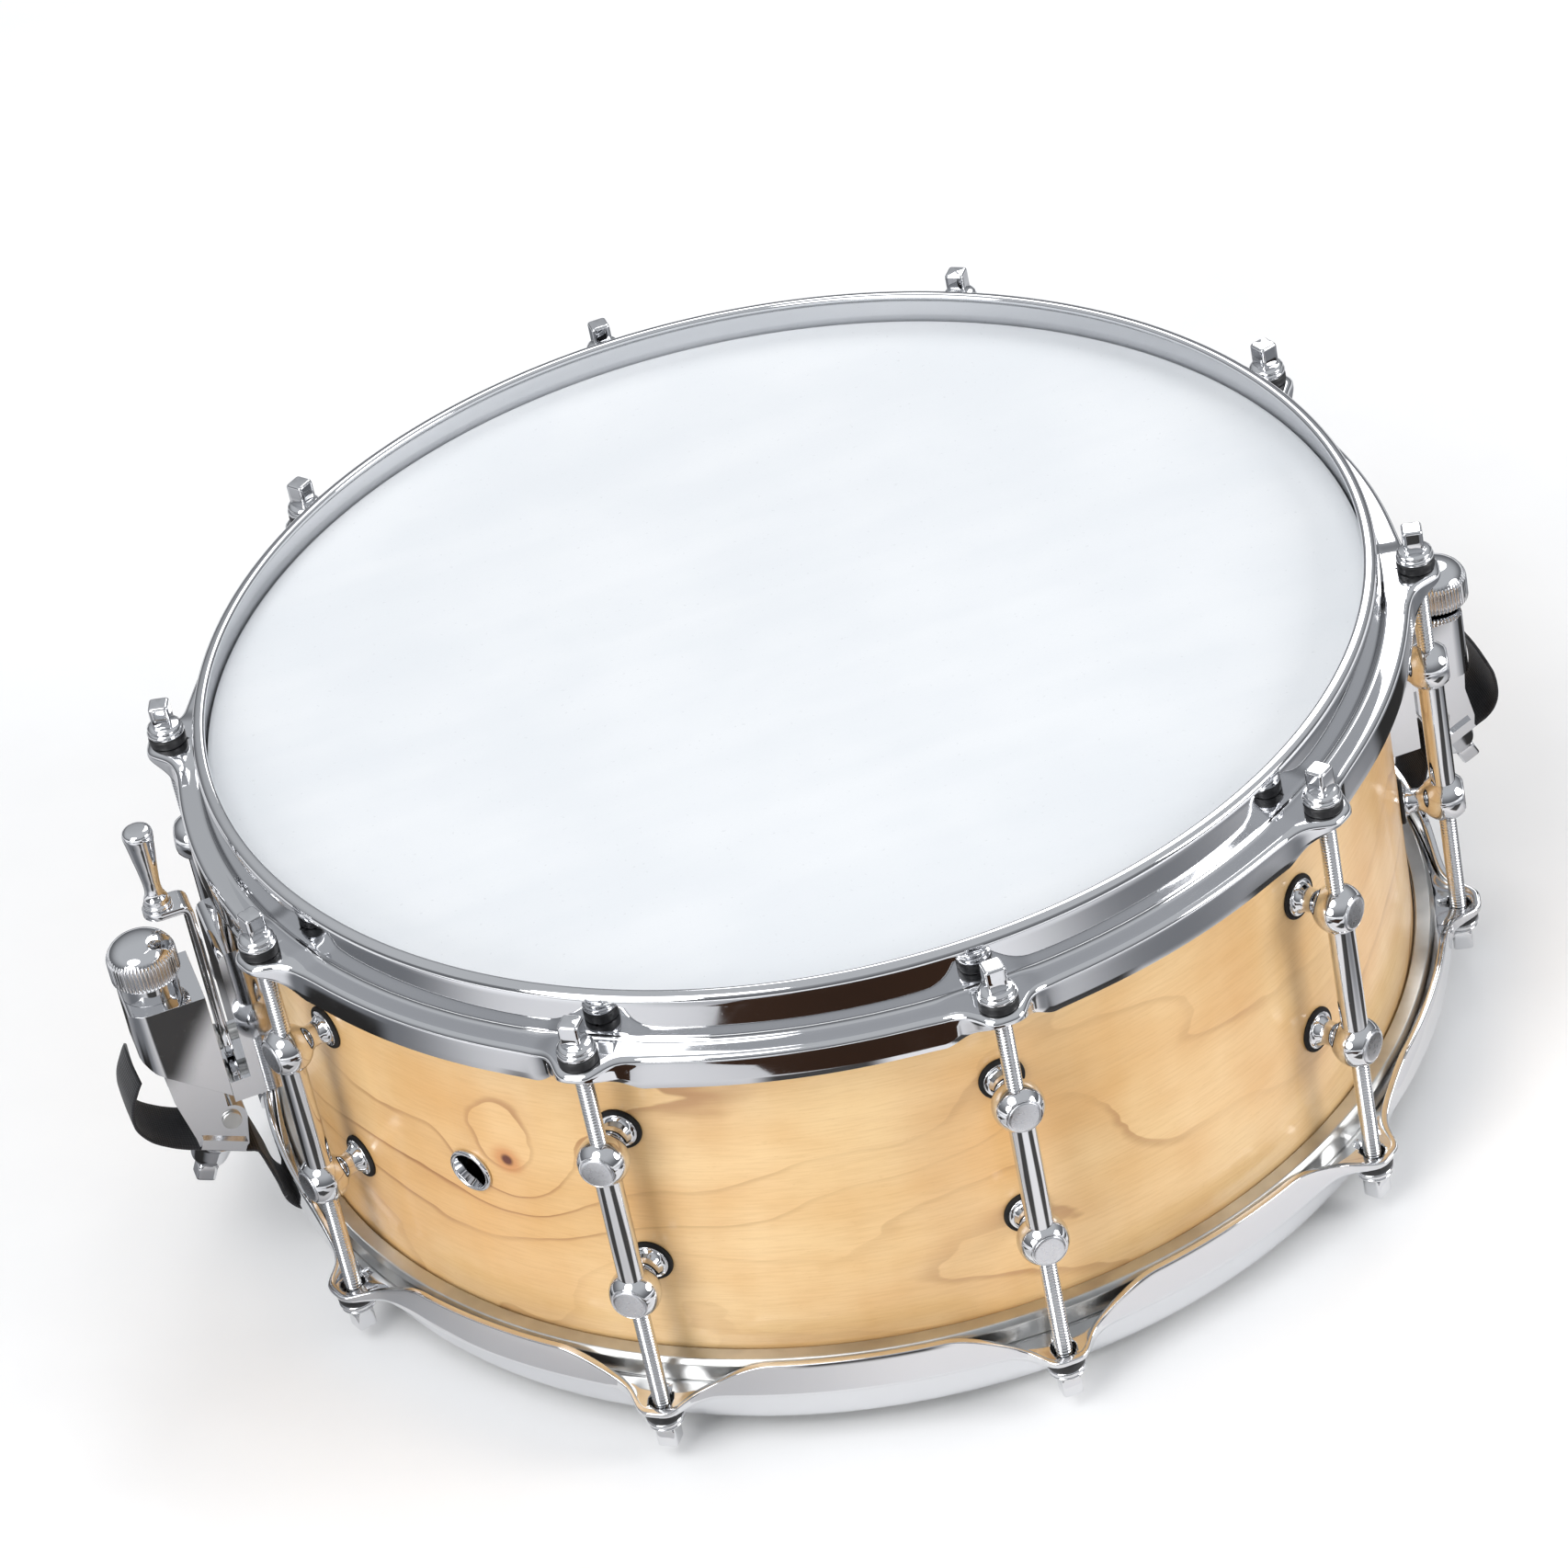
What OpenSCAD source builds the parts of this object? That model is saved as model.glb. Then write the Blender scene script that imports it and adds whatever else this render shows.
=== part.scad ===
// Snare drum, 14 inch: maple shell, flanged steel hoops, tube lugs, side-throw strainer and snare wires.
// Millimetres. +Z is up through the batter head, the strainer is at -X and the butt at +X.
// The origin is on the drum's axis, in the plane that the snare side rim stands on.

/* [Shell] */
// Outer diameter of the maple shell
shell_od = 354; // [280:0.5:410]
// Height of the shell between its two bearing edges
shell_depth = 139.7; // [110:0.1:200]
// Thickness of the plywood wall
shell_wall = 7.4; // [5:0.1:10]
// Width of the flat on the peak of each bearing edge
bearing_flat = 0.8; // [0.4:0.1:1.5]
// Slope of the cut inside each bearing edge, in degrees
bearing_angle = 45; // [30:1:60]
// Depth of the snare beds, filed where the straps cross the edge
snare_bed_depth = 1.2; // [0.5:0.1:2]
// Width of each snare bed along the edge
snare_bed_w = 100; // [70:1:130]

/* [Heads] */
// Thickness of the head film
film_t = 0.3; // [0.2:0.05:0.5]
// Gap between the film's collar and the shell, and between the film and the hoop
film_gap = 0.3; // [0.2:0.05:0.6]
// Width of the metal flesh hoop that holds the film
flesh_w = 5.8; // [4:0.1:7]
// Height of the flesh hoop
flesh_h = 8.2; // [6:0.1:9]

/* [Hoops] */
// Thickness of the hoops' pressed steel
hoop_t = 2.3; // [1.6:0.1:3]
// Height of the rim above the head
rim_rise = 10.3; // [8:0.1:14]
// Height of the whole hoop, from its lip to the edge of its skirt
hoop_h = 26.4; // [24:0.1:34]
// Height of the upright collar, from the lip to the top of the shoulder
collar_h = 15.5; // [14:0.1:20]
// How far the lip is rolled inwards past the collar
lip_roll = 2.2; // [1:0.1:3]
// Width of the shoulder that presses on the flesh hoop
shoulder_w = 7.8; // [6.5:0.1:10]
// Radius of the rounded tip of each ear
ear_r = 7.2; // [6.5:0.1:9]
// How far each ear's flat stands above the shoulder
ear_lift = 1; // [0:0.1:2]
// Half of the stretch over which the skirt rises into an ear
ear_reach = 30; // [22:1:36]
// Width of the gates that let the straps through the snare side hoop
gate_w = 40; // [30:1:50]

/* [Lugs and rods] */
// Number of lugs round the shell
lug_count = 10; // [6:1:12]
// Distance from the shell's surface to the axis of the tension rods
lug_reach = 14; // [12:0.1:18]
// Distance between the two balls of a lug
lug_span = 50; // [40:1:90]
// Height of the lugs' middle above the middle of the shell
lug_offset = 3.8; // [-6:0.1:6]
// Diameter of the balls
lug_ball_d = 15.4; // [13:0.1:18]
// Diameter of the lug tube
lug_tube_d = 8; // [7.4:0.1:10]
// Diameter of the round cap on each ball
lug_cap_d = 11.5; // [8:0.1:13]
// Diameter of the gasket under each lug foot
gasket_d = 14; // [12:0.1:18]
// Thickness of the gasket under each lug foot
gasket_t = 1.4; // [1:0.1:2.5]
// Diameter of the tension rods' thread
rod_d = 5.4; // [4.8:0.1:6]
// Length of a tension rod below its flange
rod_len = 52; // [44:1:60]
// Size across the flats of every square key head
key_w = 6.2; // [5:0.1:6.6]
// Height of a tension rod's key head
key_h = 7.7; // [6:0.1:9]
// Thickness of the flange under a key head
flange_t = 1.4; // [1:0.1:2]
// Thickness of the nylon washers
nylon_t = 3; // [1:0.1:3.5]
// Thickness of the steel washers
steel_t = 2; // [1:0.1:2.5]
// Outer diameter of both washers
washer_d = 11.6; // [10:0.1:12.6]

/* [Vent] */
// Angle of the air vent round the shell, in degrees
vent_angle = 216; // [200:1:232]
// Diameter of the vent's bore
vent_bore_d = 10; // [8:0.1:12]
// Diameter of the vent's outer flange
vent_flange_d = 14.7; // [13:0.1:18]

/* [Strainer] */
// Height of the lower end of the strainer's base above the rim
base_z = 62.5; // [60:0.5:66]
// Height of the strainer's base
base_h = 54; // [50:0.5:58]
// Width of the strainer's base
base_w = 30; // [28:0.5:36]
// How far the base stands out from the shell
base_reach = 14; // [12:0.5:16]
// Width of the slot that the lever swings in
lever_slot = 6.5; // [6:0.1:8]
// Thickness of the shelf that carries the housing
shelf_h = 7.5; // [5:0.5:10]
// Depth of the housing, measured away from the shell
housing_x = 23.5; // [22:0.5:28]
// Width of the housing
housing_w = 26; // [25:0.5:32]
// Height of the housing's top above the rim
housing_top = 102; // [100:0.5:106]
// Thickness of the housing's walls
housing_wall = 2; // [1.4:0.1:2.4]
// Height of the lever's pivot above the rim
pivot_z = 77; // [77:0.5:80]
// Length of the lever, from its pivot to the top of its foot
lever_len = 53.5; // [52:0.5:62]
// Width of the lever's strip
lever_w = 10; // [8:0.5:12]
// Thickness of the lever's strip
lever_t = 2.6; // [2:0.1:3]
// Diameter of the pivot pin
pin_d = 5; // [4:0.1:6]
// Height of the bell shaped grip
grip_h = 29; // [24:0.5:34]
// Diameter of the grip's wide end
grip_d = 9.6; // [8:0.1:12]
// Drop of the slider when the lever is thrown
throw_drop = 4.8; // [4:0.1:5]
// Diameter of the knurled knobs
knob_d = 21.4; // [18:0.1:23]
// Height of the knurled knobs
knob_h = 13.8; // [11:0.1:16]
// Diameter of the round boss under a knob
boss_d = 17.5; // [14:0.1:18]

/* [Butt] */
// Height of the lower end of the butt's base above the rim
butt_z = 45; // [43:0.5:50]
// Height of the butt's base
butt_h = 46; // [44:0.5:52]
// Height of the butt housing's top above the rim
butt_top = 87; // [85:0.5:90]
// Height of the butt housing
butt_housing_h = 21.5; // [19:0.5:22]

/* [Snares] */
// Number of coiled snare wires
wire_count = 20; // [12:2:24]
// Outer diameter of each coiled wire
wire_d = 2.8; // [2.4:0.1:3.2]
// Distance between neighbouring wires
wire_pitch = 4.4; // [3.6:0.1:5]
// Distance from the shell's surface to the ends of the wires
wire_inset = 19; // [14:0.5:30]
// Length of each end plate along the wires
plate_l = 18; // [14:0.5:22]
// Thickness of the end plates
plate_t = 1; // [0.8:0.1:1.2]
// Width of the straps
strap_w = 22; // [16:0.5:24]
// Thickness of the straps
strap_t = 1; // [0.6:0.1:1.2]

/* [Hidden] */

$fn = 64;
round_fn = 128;
eps = 0.5;          // overshoot of every cut
run_gap = 0.05;     // radial clearance of a running fit
slide_gap = 0.4;    // clearance of flat sliding faces

// Shell, heads and hoops: heights are counted down from the rim, the same at both ends.
shell_r = shell_od / 2;
shell_inner_r = shell_r - shell_wall;
total_h = shell_depth + 2 * rim_rise;
mid_z = total_h / 2;
film_r = shell_r + film_gap;
film_outer_r = film_r + 0.4;
collar_r = film_outer_r + film_gap;
skirt_r = collar_r + shoulder_w + hoop_t;
shoulder_z = -collar_h;
shoulder_under_z = shoulder_z - hoop_t;
flesh_r = film_outer_r + 0.1;
flesh_outer_r = flesh_r + flesh_w;
ear_z = shoulder_z + ear_lift;
rod_r = rod_d / 2;
rod_circle_r = shell_r + lug_reach;
ear_hole_r = rod_r + 1;
flange_z = ear_z + nylon_t + steel_t;

// Lugs
lug_step = 360 / lug_count;
lug_first = lug_step / 2;
lug_mid_z = mid_z + lug_offset;
ball_r = lug_ball_d / 2;
tube_r = lug_tube_d / 2;
socket_depth = 3.2;
foot_r = gasket_d / 2 - 1.2;
neck_r = 3.6;
cap_face_r = rod_circle_r + 6.1;
lug_screw_r = 2;

// Strainer, in a frame where +X points out of the shell
base_out = shell_r + base_reach;
housing_in = base_out + lever_slot;
housing_out = housing_in + housing_x;
housing_low = base_z + 1;
housing_toe = housing_low + 16.5;
knob_x = housing_in + 14;
knob_gap = throw_drop + 0.6;
knob_z = housing_top + knob_gap;
boss_r = boss_d / 2;
pin_r = pin_d / 2;
lever_x = base_out + (lever_slot - lever_t) / 2;
foot_z = pivot_z + lever_len;
grip_x = lever_x + 9.5;
screw_r = 2.5;
slider_low = housing_top - 14;
slider_step = housing_top - 2 * housing_wall - 0.3;
carriage_top = slider_low - 3;
carriage_low = housing_low + 9.5;
block_in = housing_in + housing_wall + slide_gap;
block_out = housing_out - 3 - housing_wall - slide_gap;
block_w = housing_w - 2 * housing_wall - 2 * slide_gap;
clamp_x = knob_x - 6.5;
clamp_z = 43.5;
clamp_tilt = 24.6;
clamp_w = strap_w + 2;
cup_r = 7.3;
cup_h = 10;
clamp_key_h = 6.8;

// Butt, in the same kind of frame
butt_knob_x = shell_r + 29.9;
butt_out = butt_knob_x + 5.6;
butt_low = butt_top - butt_housing_h;
butt_knob_z = butt_top + 0.6;
butt_clamp_x = butt_knob_x - 2;
butt_clamp_z = clamp_z - 3;

// Snares: the wires lie just under the snare side film
wire_r = wire_d / 2;
wire_len = shell_od - 2 * wire_inset;
wire_z = rim_rise - film_t - 0.2 - wire_r;
plate_z = wire_z - wire_r - 0.05 - plate_t;
plate_w = wire_pitch * (wire_count - 1) + 8;
plate_in = wire_len / 2 - 8;
plate_out = plate_in + plate_l;
strap_end_z = plate_z + plate_t + 0.1 + strap_t / 2;

maple = [0.87, 0.70, 0.44];
chrome = [0.80, 0.81, 0.83];
steel = [0.66, 0.67, 0.69];
nylon = [0.05, 0.05, 0.05];
coated_white = [0.95, 0.95, 0.94];
clear_film = [0.86, 0.88, 0.88];

// ---- placing ----

module batter_side() translate([0, 0, total_h]) children();

module snare_side() mirror([0, 0, 1]) children();

module at_lug(i) rotate([0, 0, lug_first + i * lug_step]) translate([rod_circle_r, 0, 0]) children();

module at_strainer() rotate([0, 0, 180]) children();

// An upright outline in X and Z, spread evenly to both sides of Y = 0
module upright(width) rotate([90, 0, 0]) translate([0, 0, -width / 2]) linear_extrude(width) children();

module along_x(radius, from, to) translate([from, 0, 0]) rotate([0, 90, 0]) cylinder(r = radius, h = to - from);

module along_y(radius, from, to) translate([0, from, 0]) rotate([-90, 0, 0]) cylinder(r = radius, h = to - from);

module box(low, high) translate(low) cube(high - low);

// ---- shell and vent ----

module shell() {
    low = rim_rise;
    high = total_h - rim_rise;
    peak_out = shell_r - 0.6;
    peak_in = peak_out - bearing_flat;
    cut = (peak_in - shell_inner_r) * tan(bearing_angle);
    bed_r = (pow(snare_bed_w / 2, 2) + pow(snare_bed_depth, 2)) / (2 * snare_bed_depth);
    color(maple) difference() {
        rotate_extrude($fn = round_fn) polygon([
            [shell_inner_r, low + cut], [peak_in, low], [peak_out, low], [shell_r, low + 0.6],
            [shell_r, high - 0.6], [peak_out, high], [peak_in, high], [shell_inner_r, high - cut]
        ]);
        translate([0, 0, low + snare_bed_depth - bed_r]) rotate([0, 90, 0])
            cylinder(r = bed_r, h = shell_od + 2 * eps, center = true, $fn = 256);
        for (i = [0:lug_count - 1], s = [-1, 1])
            rotate([0, 0, lug_first + i * lug_step])
                translate([0, 0, lug_mid_z + s * lug_span / 2])
                    along_x(lug_screw_r + 0.3, shell_inner_r - 3, shell_r + eps);
        rotate([0, 0, vent_angle]) translate([0, 0, mid_z])
            along_x(vent_bore_d / 2 + 1.5, shell_inner_r - 3, shell_r + eps);
        for (z = strainer_screw_z()) translate([0, 0, z]) rotate([0, 0, 180])
            along_x(screw_r + 0.3, shell_inner_r - 3, shell_r + eps);
        for (z = butt_screw_z()) translate([0, 0, z])
            along_x(screw_r + 0.3, shell_inner_r - 3, shell_r + eps);
    }
}

module vent_grommet() {
    bore_r = vent_bore_d / 2;
    color(chrome) rotate([0, 0, vent_angle]) translate([0, 0, mid_z]) difference() {
        union() {
            along_x(bore_r + 1.4, shell_inner_r - 1.4, shell_r + 1.5);
            difference() {
                along_x(vent_flange_d / 2, shell_r - 1, shell_r + 1.5);
                translate([0, 0, -mid_z]) cylinder(r = shell_r + 0.05, h = total_h, $fn = round_fn);
            }
            along_x(vent_flange_d / 2 + 0.6, shell_inner_r - 1.4, shell_inner_r - 0.5);
        }
        along_x(bore_r, shell_inner_r - 3, shell_r + 3);
    }
}

// ---- heads ----

// Film stretched over the edge, down past the shell and into the flesh hoop
module film() rotate_extrude($fn = round_fn) polygon([
    [0, -rim_rise], [film_r, -rim_rise], [film_r, shoulder_under_z - flesh_h + 1.5],
    [film_outer_r, shoulder_under_z - flesh_h + 1.5], [film_outer_r, -rim_rise],
    [film_outer_r - film_t, -rim_rise + film_t], [0, -rim_rise + film_t]
]);

module flesh_ring() translate([0, 0, shoulder_under_z - flesh_h]) difference() {
    cylinder(r = flesh_outer_r, h = flesh_h, $fn = round_fn);
    translate([0, 0, -eps]) cylinder(r = flesh_r, h = flesh_h + 2 * eps, $fn = round_fn);
}

module batter_head() color(coated_white) batter_side() film();

module batter_flesh_hoop() color(steel) batter_side() flesh_ring();

module snare_head() color(clear_film) snare_side() film();

module snare_flesh_hoop() color(steel) snare_side() flesh_ring();

// ---- hoops ----

// Points of a quarter round from angle a to angle b about a centre
function arc(x, y, r, a, b, steps = 4) =
    [for (k = [0:steps]) let (t = a + (b - a) * k / steps) [x + r * cos(t), y + r * sin(t)]];

// Section of the pressed hoop: rolled lip, upright collar, shoulder and skirt
module hoop_section() {
    lip_in = collar_r - lip_roll;
    collar_out = collar_r + hoop_t;
    corner = 2;
    polygon(concat(
        [[collar_r, shoulder_under_z], [collar_r, -3.4], [lip_in + 0.6, -2.4]],
        arc(lip_in + 1.2, -1.2, 1.2, 180, 90),
        arc(collar_out - corner, -corner, corner, 90, 0),
        arc(collar_out + 1, shoulder_z + 1, 1, 180, 270),
        arc(skirt_r - corner, shoulder_z - corner, corner, 90, 0),
        [[skirt_r, -hoop_h], [skirt_r - hoop_t, -hoop_h], [skirt_r - hoop_t, shoulder_under_z]]
    ));
}

// Flat of one ear: a round tip and two wings that meet the skirt
module ear_outline() {
    wing_x = sqrt(pow(skirt_r - 0.4, 2) - pow(ear_reach, 2));
    dx = wing_x - rod_circle_r;
    reach = norm([dx, ear_reach]);
    turn = acos(ear_r / reach);
    aim = atan2(ear_reach, dx) - turn;
    tip = [rod_circle_r + ear_r * cos(aim), ear_r * sin(aim)];
    translate([rod_circle_r, 0]) circle(r = ear_r);
    polygon([
        [collar_r + hoop_t / 2, -ear_reach + 2], [wing_x, -ear_reach], [tip[0], -tip[1]],
        [tip[0], tip[1]], [wing_x, ear_reach], [collar_r + hoop_t / 2, ear_reach - 2]
    ]);
}

module flanged_hoop() {
    skirt_drop = hoop_h + shoulder_under_z;
    arch_r = (pow(ear_reach, 2) + pow(skirt_drop, 2)) / (2 * skirt_drop);
    difference() {
        union() {
            rotate([0, 0, lug_first + lug_step / 2]) rotate_extrude($fn = round_fn) hoop_section();
            for (i = [0:lug_count - 1]) rotate([0, 0, lug_first + i * lug_step])
                translate([0, 0, ear_z - hoop_t]) linear_extrude(hoop_t) ear_outline();
        }
        for (i = [0:lug_count - 1]) rotate([0, 0, lug_first + i * lug_step]) {
            translate([0, 0, shoulder_under_z - arch_r])
                along_x(arch_r, flesh_outer_r + 0.5, skirt_r + ear_r + 6);
            translate([rod_circle_r, 0, shoulder_under_z - eps])
                cylinder(r = ear_hole_r, h = ear_z - shoulder_under_z + 2 * eps);
        }
    }
}

module batter_hoop() color(chrome) batter_side() flanged_hoop();

module snare_hoop() color(chrome) snare_side() difference() {
    flanged_hoop();
    for (side = [-1, 1]) {
        near = collar_r - lip_roll - 2;
        far = collar_r + hoop_t + 1;
        box([side > 0 ? near : -far, -gate_w / 2, -13.4], [side > 0 ? far : -near, gate_w / 2, -4]);
    }
}

// ---- lugs ----

module lug_tube() {
    half = lug_span / 2 - socket_depth - 2;
    translate([0, 0, lug_mid_z - half]) difference() {
        cylinder(r = tube_r, h = 2 * half);
        translate([0, 0, -eps]) cylinder(r = rod_r + 0.3, h = 2 * half + 2 * eps);
    }
}

// Ball, neck and foot of one lug post; s is 1 for the upper post and -1 for the lower one
module lug_post(s) {
    foot = gasket_t - lug_reach;
    inner = socket_depth + 2;
    translate([0, 0, lug_mid_z + s * lug_span / 2]) difference() {
        union() {
            rotate([0, 90, 0]) sphere(r = ball_r);
            along_x(lug_cap_d / 2, 0, cap_face_r - rod_circle_r);
            along_x(neck_r, foot, 0);
            along_x(foot_r, foot, foot + 1.5);
            along_x(foot_r - 1.3, foot, foot + 2.9);
        }
        translate([0, 0, -ball_r - eps]) cylinder(r = rod_r + run_gap, h = 2 * ball_r + 2 * eps);
        translate([0, 0, s > 0 ? -ball_r - eps : inner])
            cylinder(r = tube_r + run_gap, h = ball_r + eps - inner);
        along_x(lug_screw_r + run_gap, foot - eps, -rod_r - 2.2);
    }
}

module lug_tubes() color(chrome) for (i = [0:lug_count - 1]) at_lug(i) lug_tube();

module lug_posts() color(chrome) for (i = [0:lug_count - 1], s = [-1, 1]) at_lug(i) lug_post(s);

module lug_gaskets() color(nylon) for (i = [0:lug_count - 1], s = [-1, 1])
    rotate([0, 0, lug_first + i * lug_step]) difference() {
        translate([0, 0, lug_mid_z + s * lug_span / 2])
            along_x(gasket_d / 2, shell_r - 1, shell_r + gasket_t);
        cylinder(r = shell_r + 0.05, h = total_h, $fn = 720);
        translate([0, 0, lug_mid_z + s * lug_span / 2])
            along_x(lug_screw_r + 0.3, shell_r - 2, shell_r + gasket_t + eps);
    }

module lug_screws() color(steel) for (i = [0:lug_count - 1], s = [-1, 1])
    rotate([0, 0, lug_first + i * lug_step]) translate([0, 0, lug_mid_z + s * lug_span / 2]) {
        along_x(6, shell_inner_r - 1.8, shell_inner_r - 0.6);
        along_x(4, shell_inner_r - 4.6, shell_inner_r - 1.6);
        along_x(lug_screw_r, shell_inner_r - 2, rod_circle_r - rod_r - 2.8);
    }

// ---- tension rods and washers ----

module ring(outer_r, bore_r, height) difference() {
    cylinder(r = outer_r, h = height);
    translate([0, 0, -eps]) cylinder(r = bore_r, h = height + 2 * eps);
}

// Square head with a domed end; its base is at Z = 0
module key_head(height) intersection() {
    translate([-key_w / 2, -key_w / 2, 0]) cube([key_w, key_w, height]);
    union() {
        cylinder(r = key_w * 0.68, h = height - 1.2);
        translate([0, 0, height - 1.2]) cylinder(r1 = key_w * 0.68, r2 = key_w * 0.42, h = 1.2);
    }
}

module tension_rod() translate([0, 0, flange_z]) {
    translate([0, 0, -rod_len]) cylinder(r = rod_r, h = rod_len + flange_t / 2);
    cylinder(r = washer_d / 2 - 0.4, h = flange_t);
    translate([0, 0, flange_t]) key_head(key_h);
}

module batter_rod(i) color(chrome) batter_side() at_lug(i - 1) tension_rod();

module snare_rod(i) color(chrome) snare_side() at_lug(i - 1) tension_rod();

module nylon_washers() for (i = [0:lug_count - 1]) at_lug(i)
    translate([0, 0, ear_z]) ring(washer_d / 2, rod_r + 0.2, nylon_t);

module steel_washers() for (i = [0:lug_count - 1]) at_lug(i)
    translate([0, 0, ear_z + nylon_t]) ring(washer_d / 2, rod_r + 0.2, steel_t);

module batter_nylon_washers() color(nylon) batter_side() nylon_washers();

module batter_steel_washers() color(steel) batter_side() steel_washers();

module snare_nylon_washers() color(nylon) snare_side() nylon_washers();

module snare_steel_washers() color(steel) snare_side() steel_washers();

// ---- strainer and butt ----

function strainer_screw_z() = [base_z + 27, base_z + base_h - 8];
function butt_screw_z() = [butt_z + 9, butt_z + butt_h - 9];

// Block that stands on the curved shell, with tapped holes for its screws
module mounting_block(low, high, screws) difference() {
    upright(base_w) polygon(concat(
        [[shell_r - 2, low], [base_out, low]],
        arc(base_out - 3, high - 3, 3, 0, 90),
        [[shell_r - 2, high]]
    ));
    cylinder(r = shell_r + 0.05, h = total_h, $fn = 256);
    for (z = screws) translate([0, 0, z]) along_x(screw_r + run_gap, shell_r - 2, base_out - 4.5);
}

// The two countersunk screws that hold the housing to the base's shelf
module at_housing_screws() for (side = [-1, 1])
    translate([housing_in + housing_wall, side * housing_w / 3.4, base_z + shelf_h / 2]) children();

module countersunk(gap) {
    along_x(1.5 + gap, -housing_wall - 6, 0);
    translate([-1.4, 0, 0]) rotate([0, 90, 0]) cylinder(r1 = 1.5 + gap, r2 = 2.9 + gap, h = 1.4);
}

module strainer_base() color(chrome) at_strainer() difference() {
    union() {
        mounting_block(base_z, base_z + base_h, strainer_screw_z());
        box([base_out - 1, -base_w / 2, base_z], [housing_in, base_w / 2, base_z + shelf_h]);
    }
    translate([0, 0, pivot_z]) along_x(pin_r + run_gap, shell_r + 4, housing_in + eps);
    at_housing_screws() along_x(1.5 + run_gap, -housing_wall - 6.5, 0);
}

module strainer_pivot_pin() color(steel) at_strainer() translate([0, 0, pivot_z]) {
    along_x(pin_r, shell_r + 4.4, lever_x + lever_t + 0.3);
    along_x(pin_r + 1.6, lever_x + lever_t + 0.2, housing_in - 0.4);
}

// Side outline of the housing, drawn in by a wall's thickness for its hollow
module housing_side(wall, low_extra) polygon(concat(
    [[housing_in + wall, housing_low - low_extra]],
    [[housing_out - 3 - wall, housing_toe - low_extra]],
    [[housing_out - wall, housing_toe + 4]],
    arc(housing_out - wall - 2, housing_top - 2 * wall - 2, 2, 0, 90),
    [[housing_in + wall, housing_top - 2 * wall]]
));

// Plan of the housing: its outer corners are rounded
module housing_plan(wall, radius) {
    half = housing_w / 2 - wall;
    polygon(concat(
        [[housing_in + wall, -half]],
        arc(housing_out - wall - radius, -half + radius, radius, -90, 0),
        arc(housing_out - wall - radius, half - radius, radius, 0, 90),
        [[housing_in + wall, half]]
    ));
}

module strainer_housing() color(chrome) at_strainer() difference() {
    intersection() {
        upright(housing_w) housing_side(0, 0);
        linear_extrude(total_h) housing_plan(0, 6);
    }
    intersection() {
        upright(housing_w) housing_side(housing_wall, 6);
        linear_extrude(total_h) housing_plan(housing_wall, 4);
    }
    translate([knob_x, 0, slider_step - throw_drop - 0.5])
        cylinder(r = boss_r + run_gap, h = housing_top);
    at_housing_screws() {
        countersunk(run_gap);
        along_x(2.9 + run_gap, 0, eps);
    }
}

module housing_screws() color(steel) at_strainer() at_housing_screws() countersunk(0);

module strainer_lever() {
    low = pivot_z;
    foot_end = grip_x + lever_w / 2;
    color(chrome) at_strainer() difference() {
        union() {
            translate([0, 0, low]) along_x(lever_w / 2 + 1, lever_x, lever_x + lever_t);
            box([lever_x, -lever_w / 2, low], [lever_x + lever_t, lever_w / 2, foot_z]);
            box([lever_x, -lever_w / 2, foot_z - lever_t], [grip_x, lever_w / 2, foot_z]);
            translate([grip_x, 0, foot_z - lever_t]) cylinder(r = lever_w / 2, h = lever_t);
        }
        translate([0, 0, low]) along_x(pin_r + run_gap, lever_x - eps, lever_x + lever_t + eps);
        translate([grip_x, 0, foot_z - lever_t - eps]) cylinder(r = 2, h = lever_t + 2 * eps);
        translate([lever_x - eps, -lever_w, foot_z - 1.2]) rotate([0, -45, 0]) cube([4, 2 * lever_w, 4]);
    }
}

// Bell shaped grip, held by its own stud through the lever's foot
module strainer_grip() {
    wide = grip_d / 2;
    color(chrome) at_strainer() translate([grip_x, 0, foot_z]) {
        rotate_extrude() polygon(concat(
            [[0, 0], [4.4, 0], [4.4, 1.2], [3.9, 1.6], [3.9, 3.4], [2.9, 5]],
            [[2.6, 7], [2.7, 9.5], [3.2, 14], [wide - 0.5, grip_h - 6]],
            arc(wide - 1.8, grip_h - 2.6, 1.8, 0, 60),
            [[0, grip_h]]
        ));
        translate([0, 0, -lever_t - 0.8]) cylinder(r = 1.9, h = lever_t + 1.6);
        translate([0, 0, -lever_t - 1.4]) cylinder(r = 3, h = 1.4);
    }
}

// Round boss that rises through the housing's top and carries the knob
module strainer_slider() color(chrome) at_strainer() translate([knob_x, 0, 0]) difference() {
    union() {
        translate([0, 0, slider_step]) cylinder(r = boss_r, h = knob_z - slider_step);
        translate([0, 0, slider_low]) cylinder(r = boss_r - 2.3, h = knob_z - slider_low - 1);
    }
    translate([0, 0, slider_low - eps]) cylinder(r = screw_r + run_gap, h = knob_z);
}

// Knurled knob with a domed top, and its adjusting screw
module knurled_knob(screw_len) {
    flutes = 54;
    rim = knob_h - 4.4;
    rotate_extrude() polygon(concat(
        [[0, 0], [knob_d / 2 - 1.6, 0], [knob_d / 2 - 0.5, 1]],
        [[knob_d / 2 - 0.5, rim]],
        [[knob_d / 2 - 1.2, rim + 1.2], [knob_d / 2 - 3, rim + 2.6], [knob_d / 2 - 6, knob_h - 0.5]],
        [[0, knob_h]]
    ));
    linear_extrude(rim) difference() {
        circle(r = knob_d / 2);
        for (k = [0:flutes - 1]) rotate(k * 360 / flutes) translate([knob_d / 2 + 0.12, 0])
            circle(r = 0.5, $fn = 4);
    }
    translate([0, 0, -screw_len]) cylinder(r = screw_r, h = screw_len + 1);
}

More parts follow.
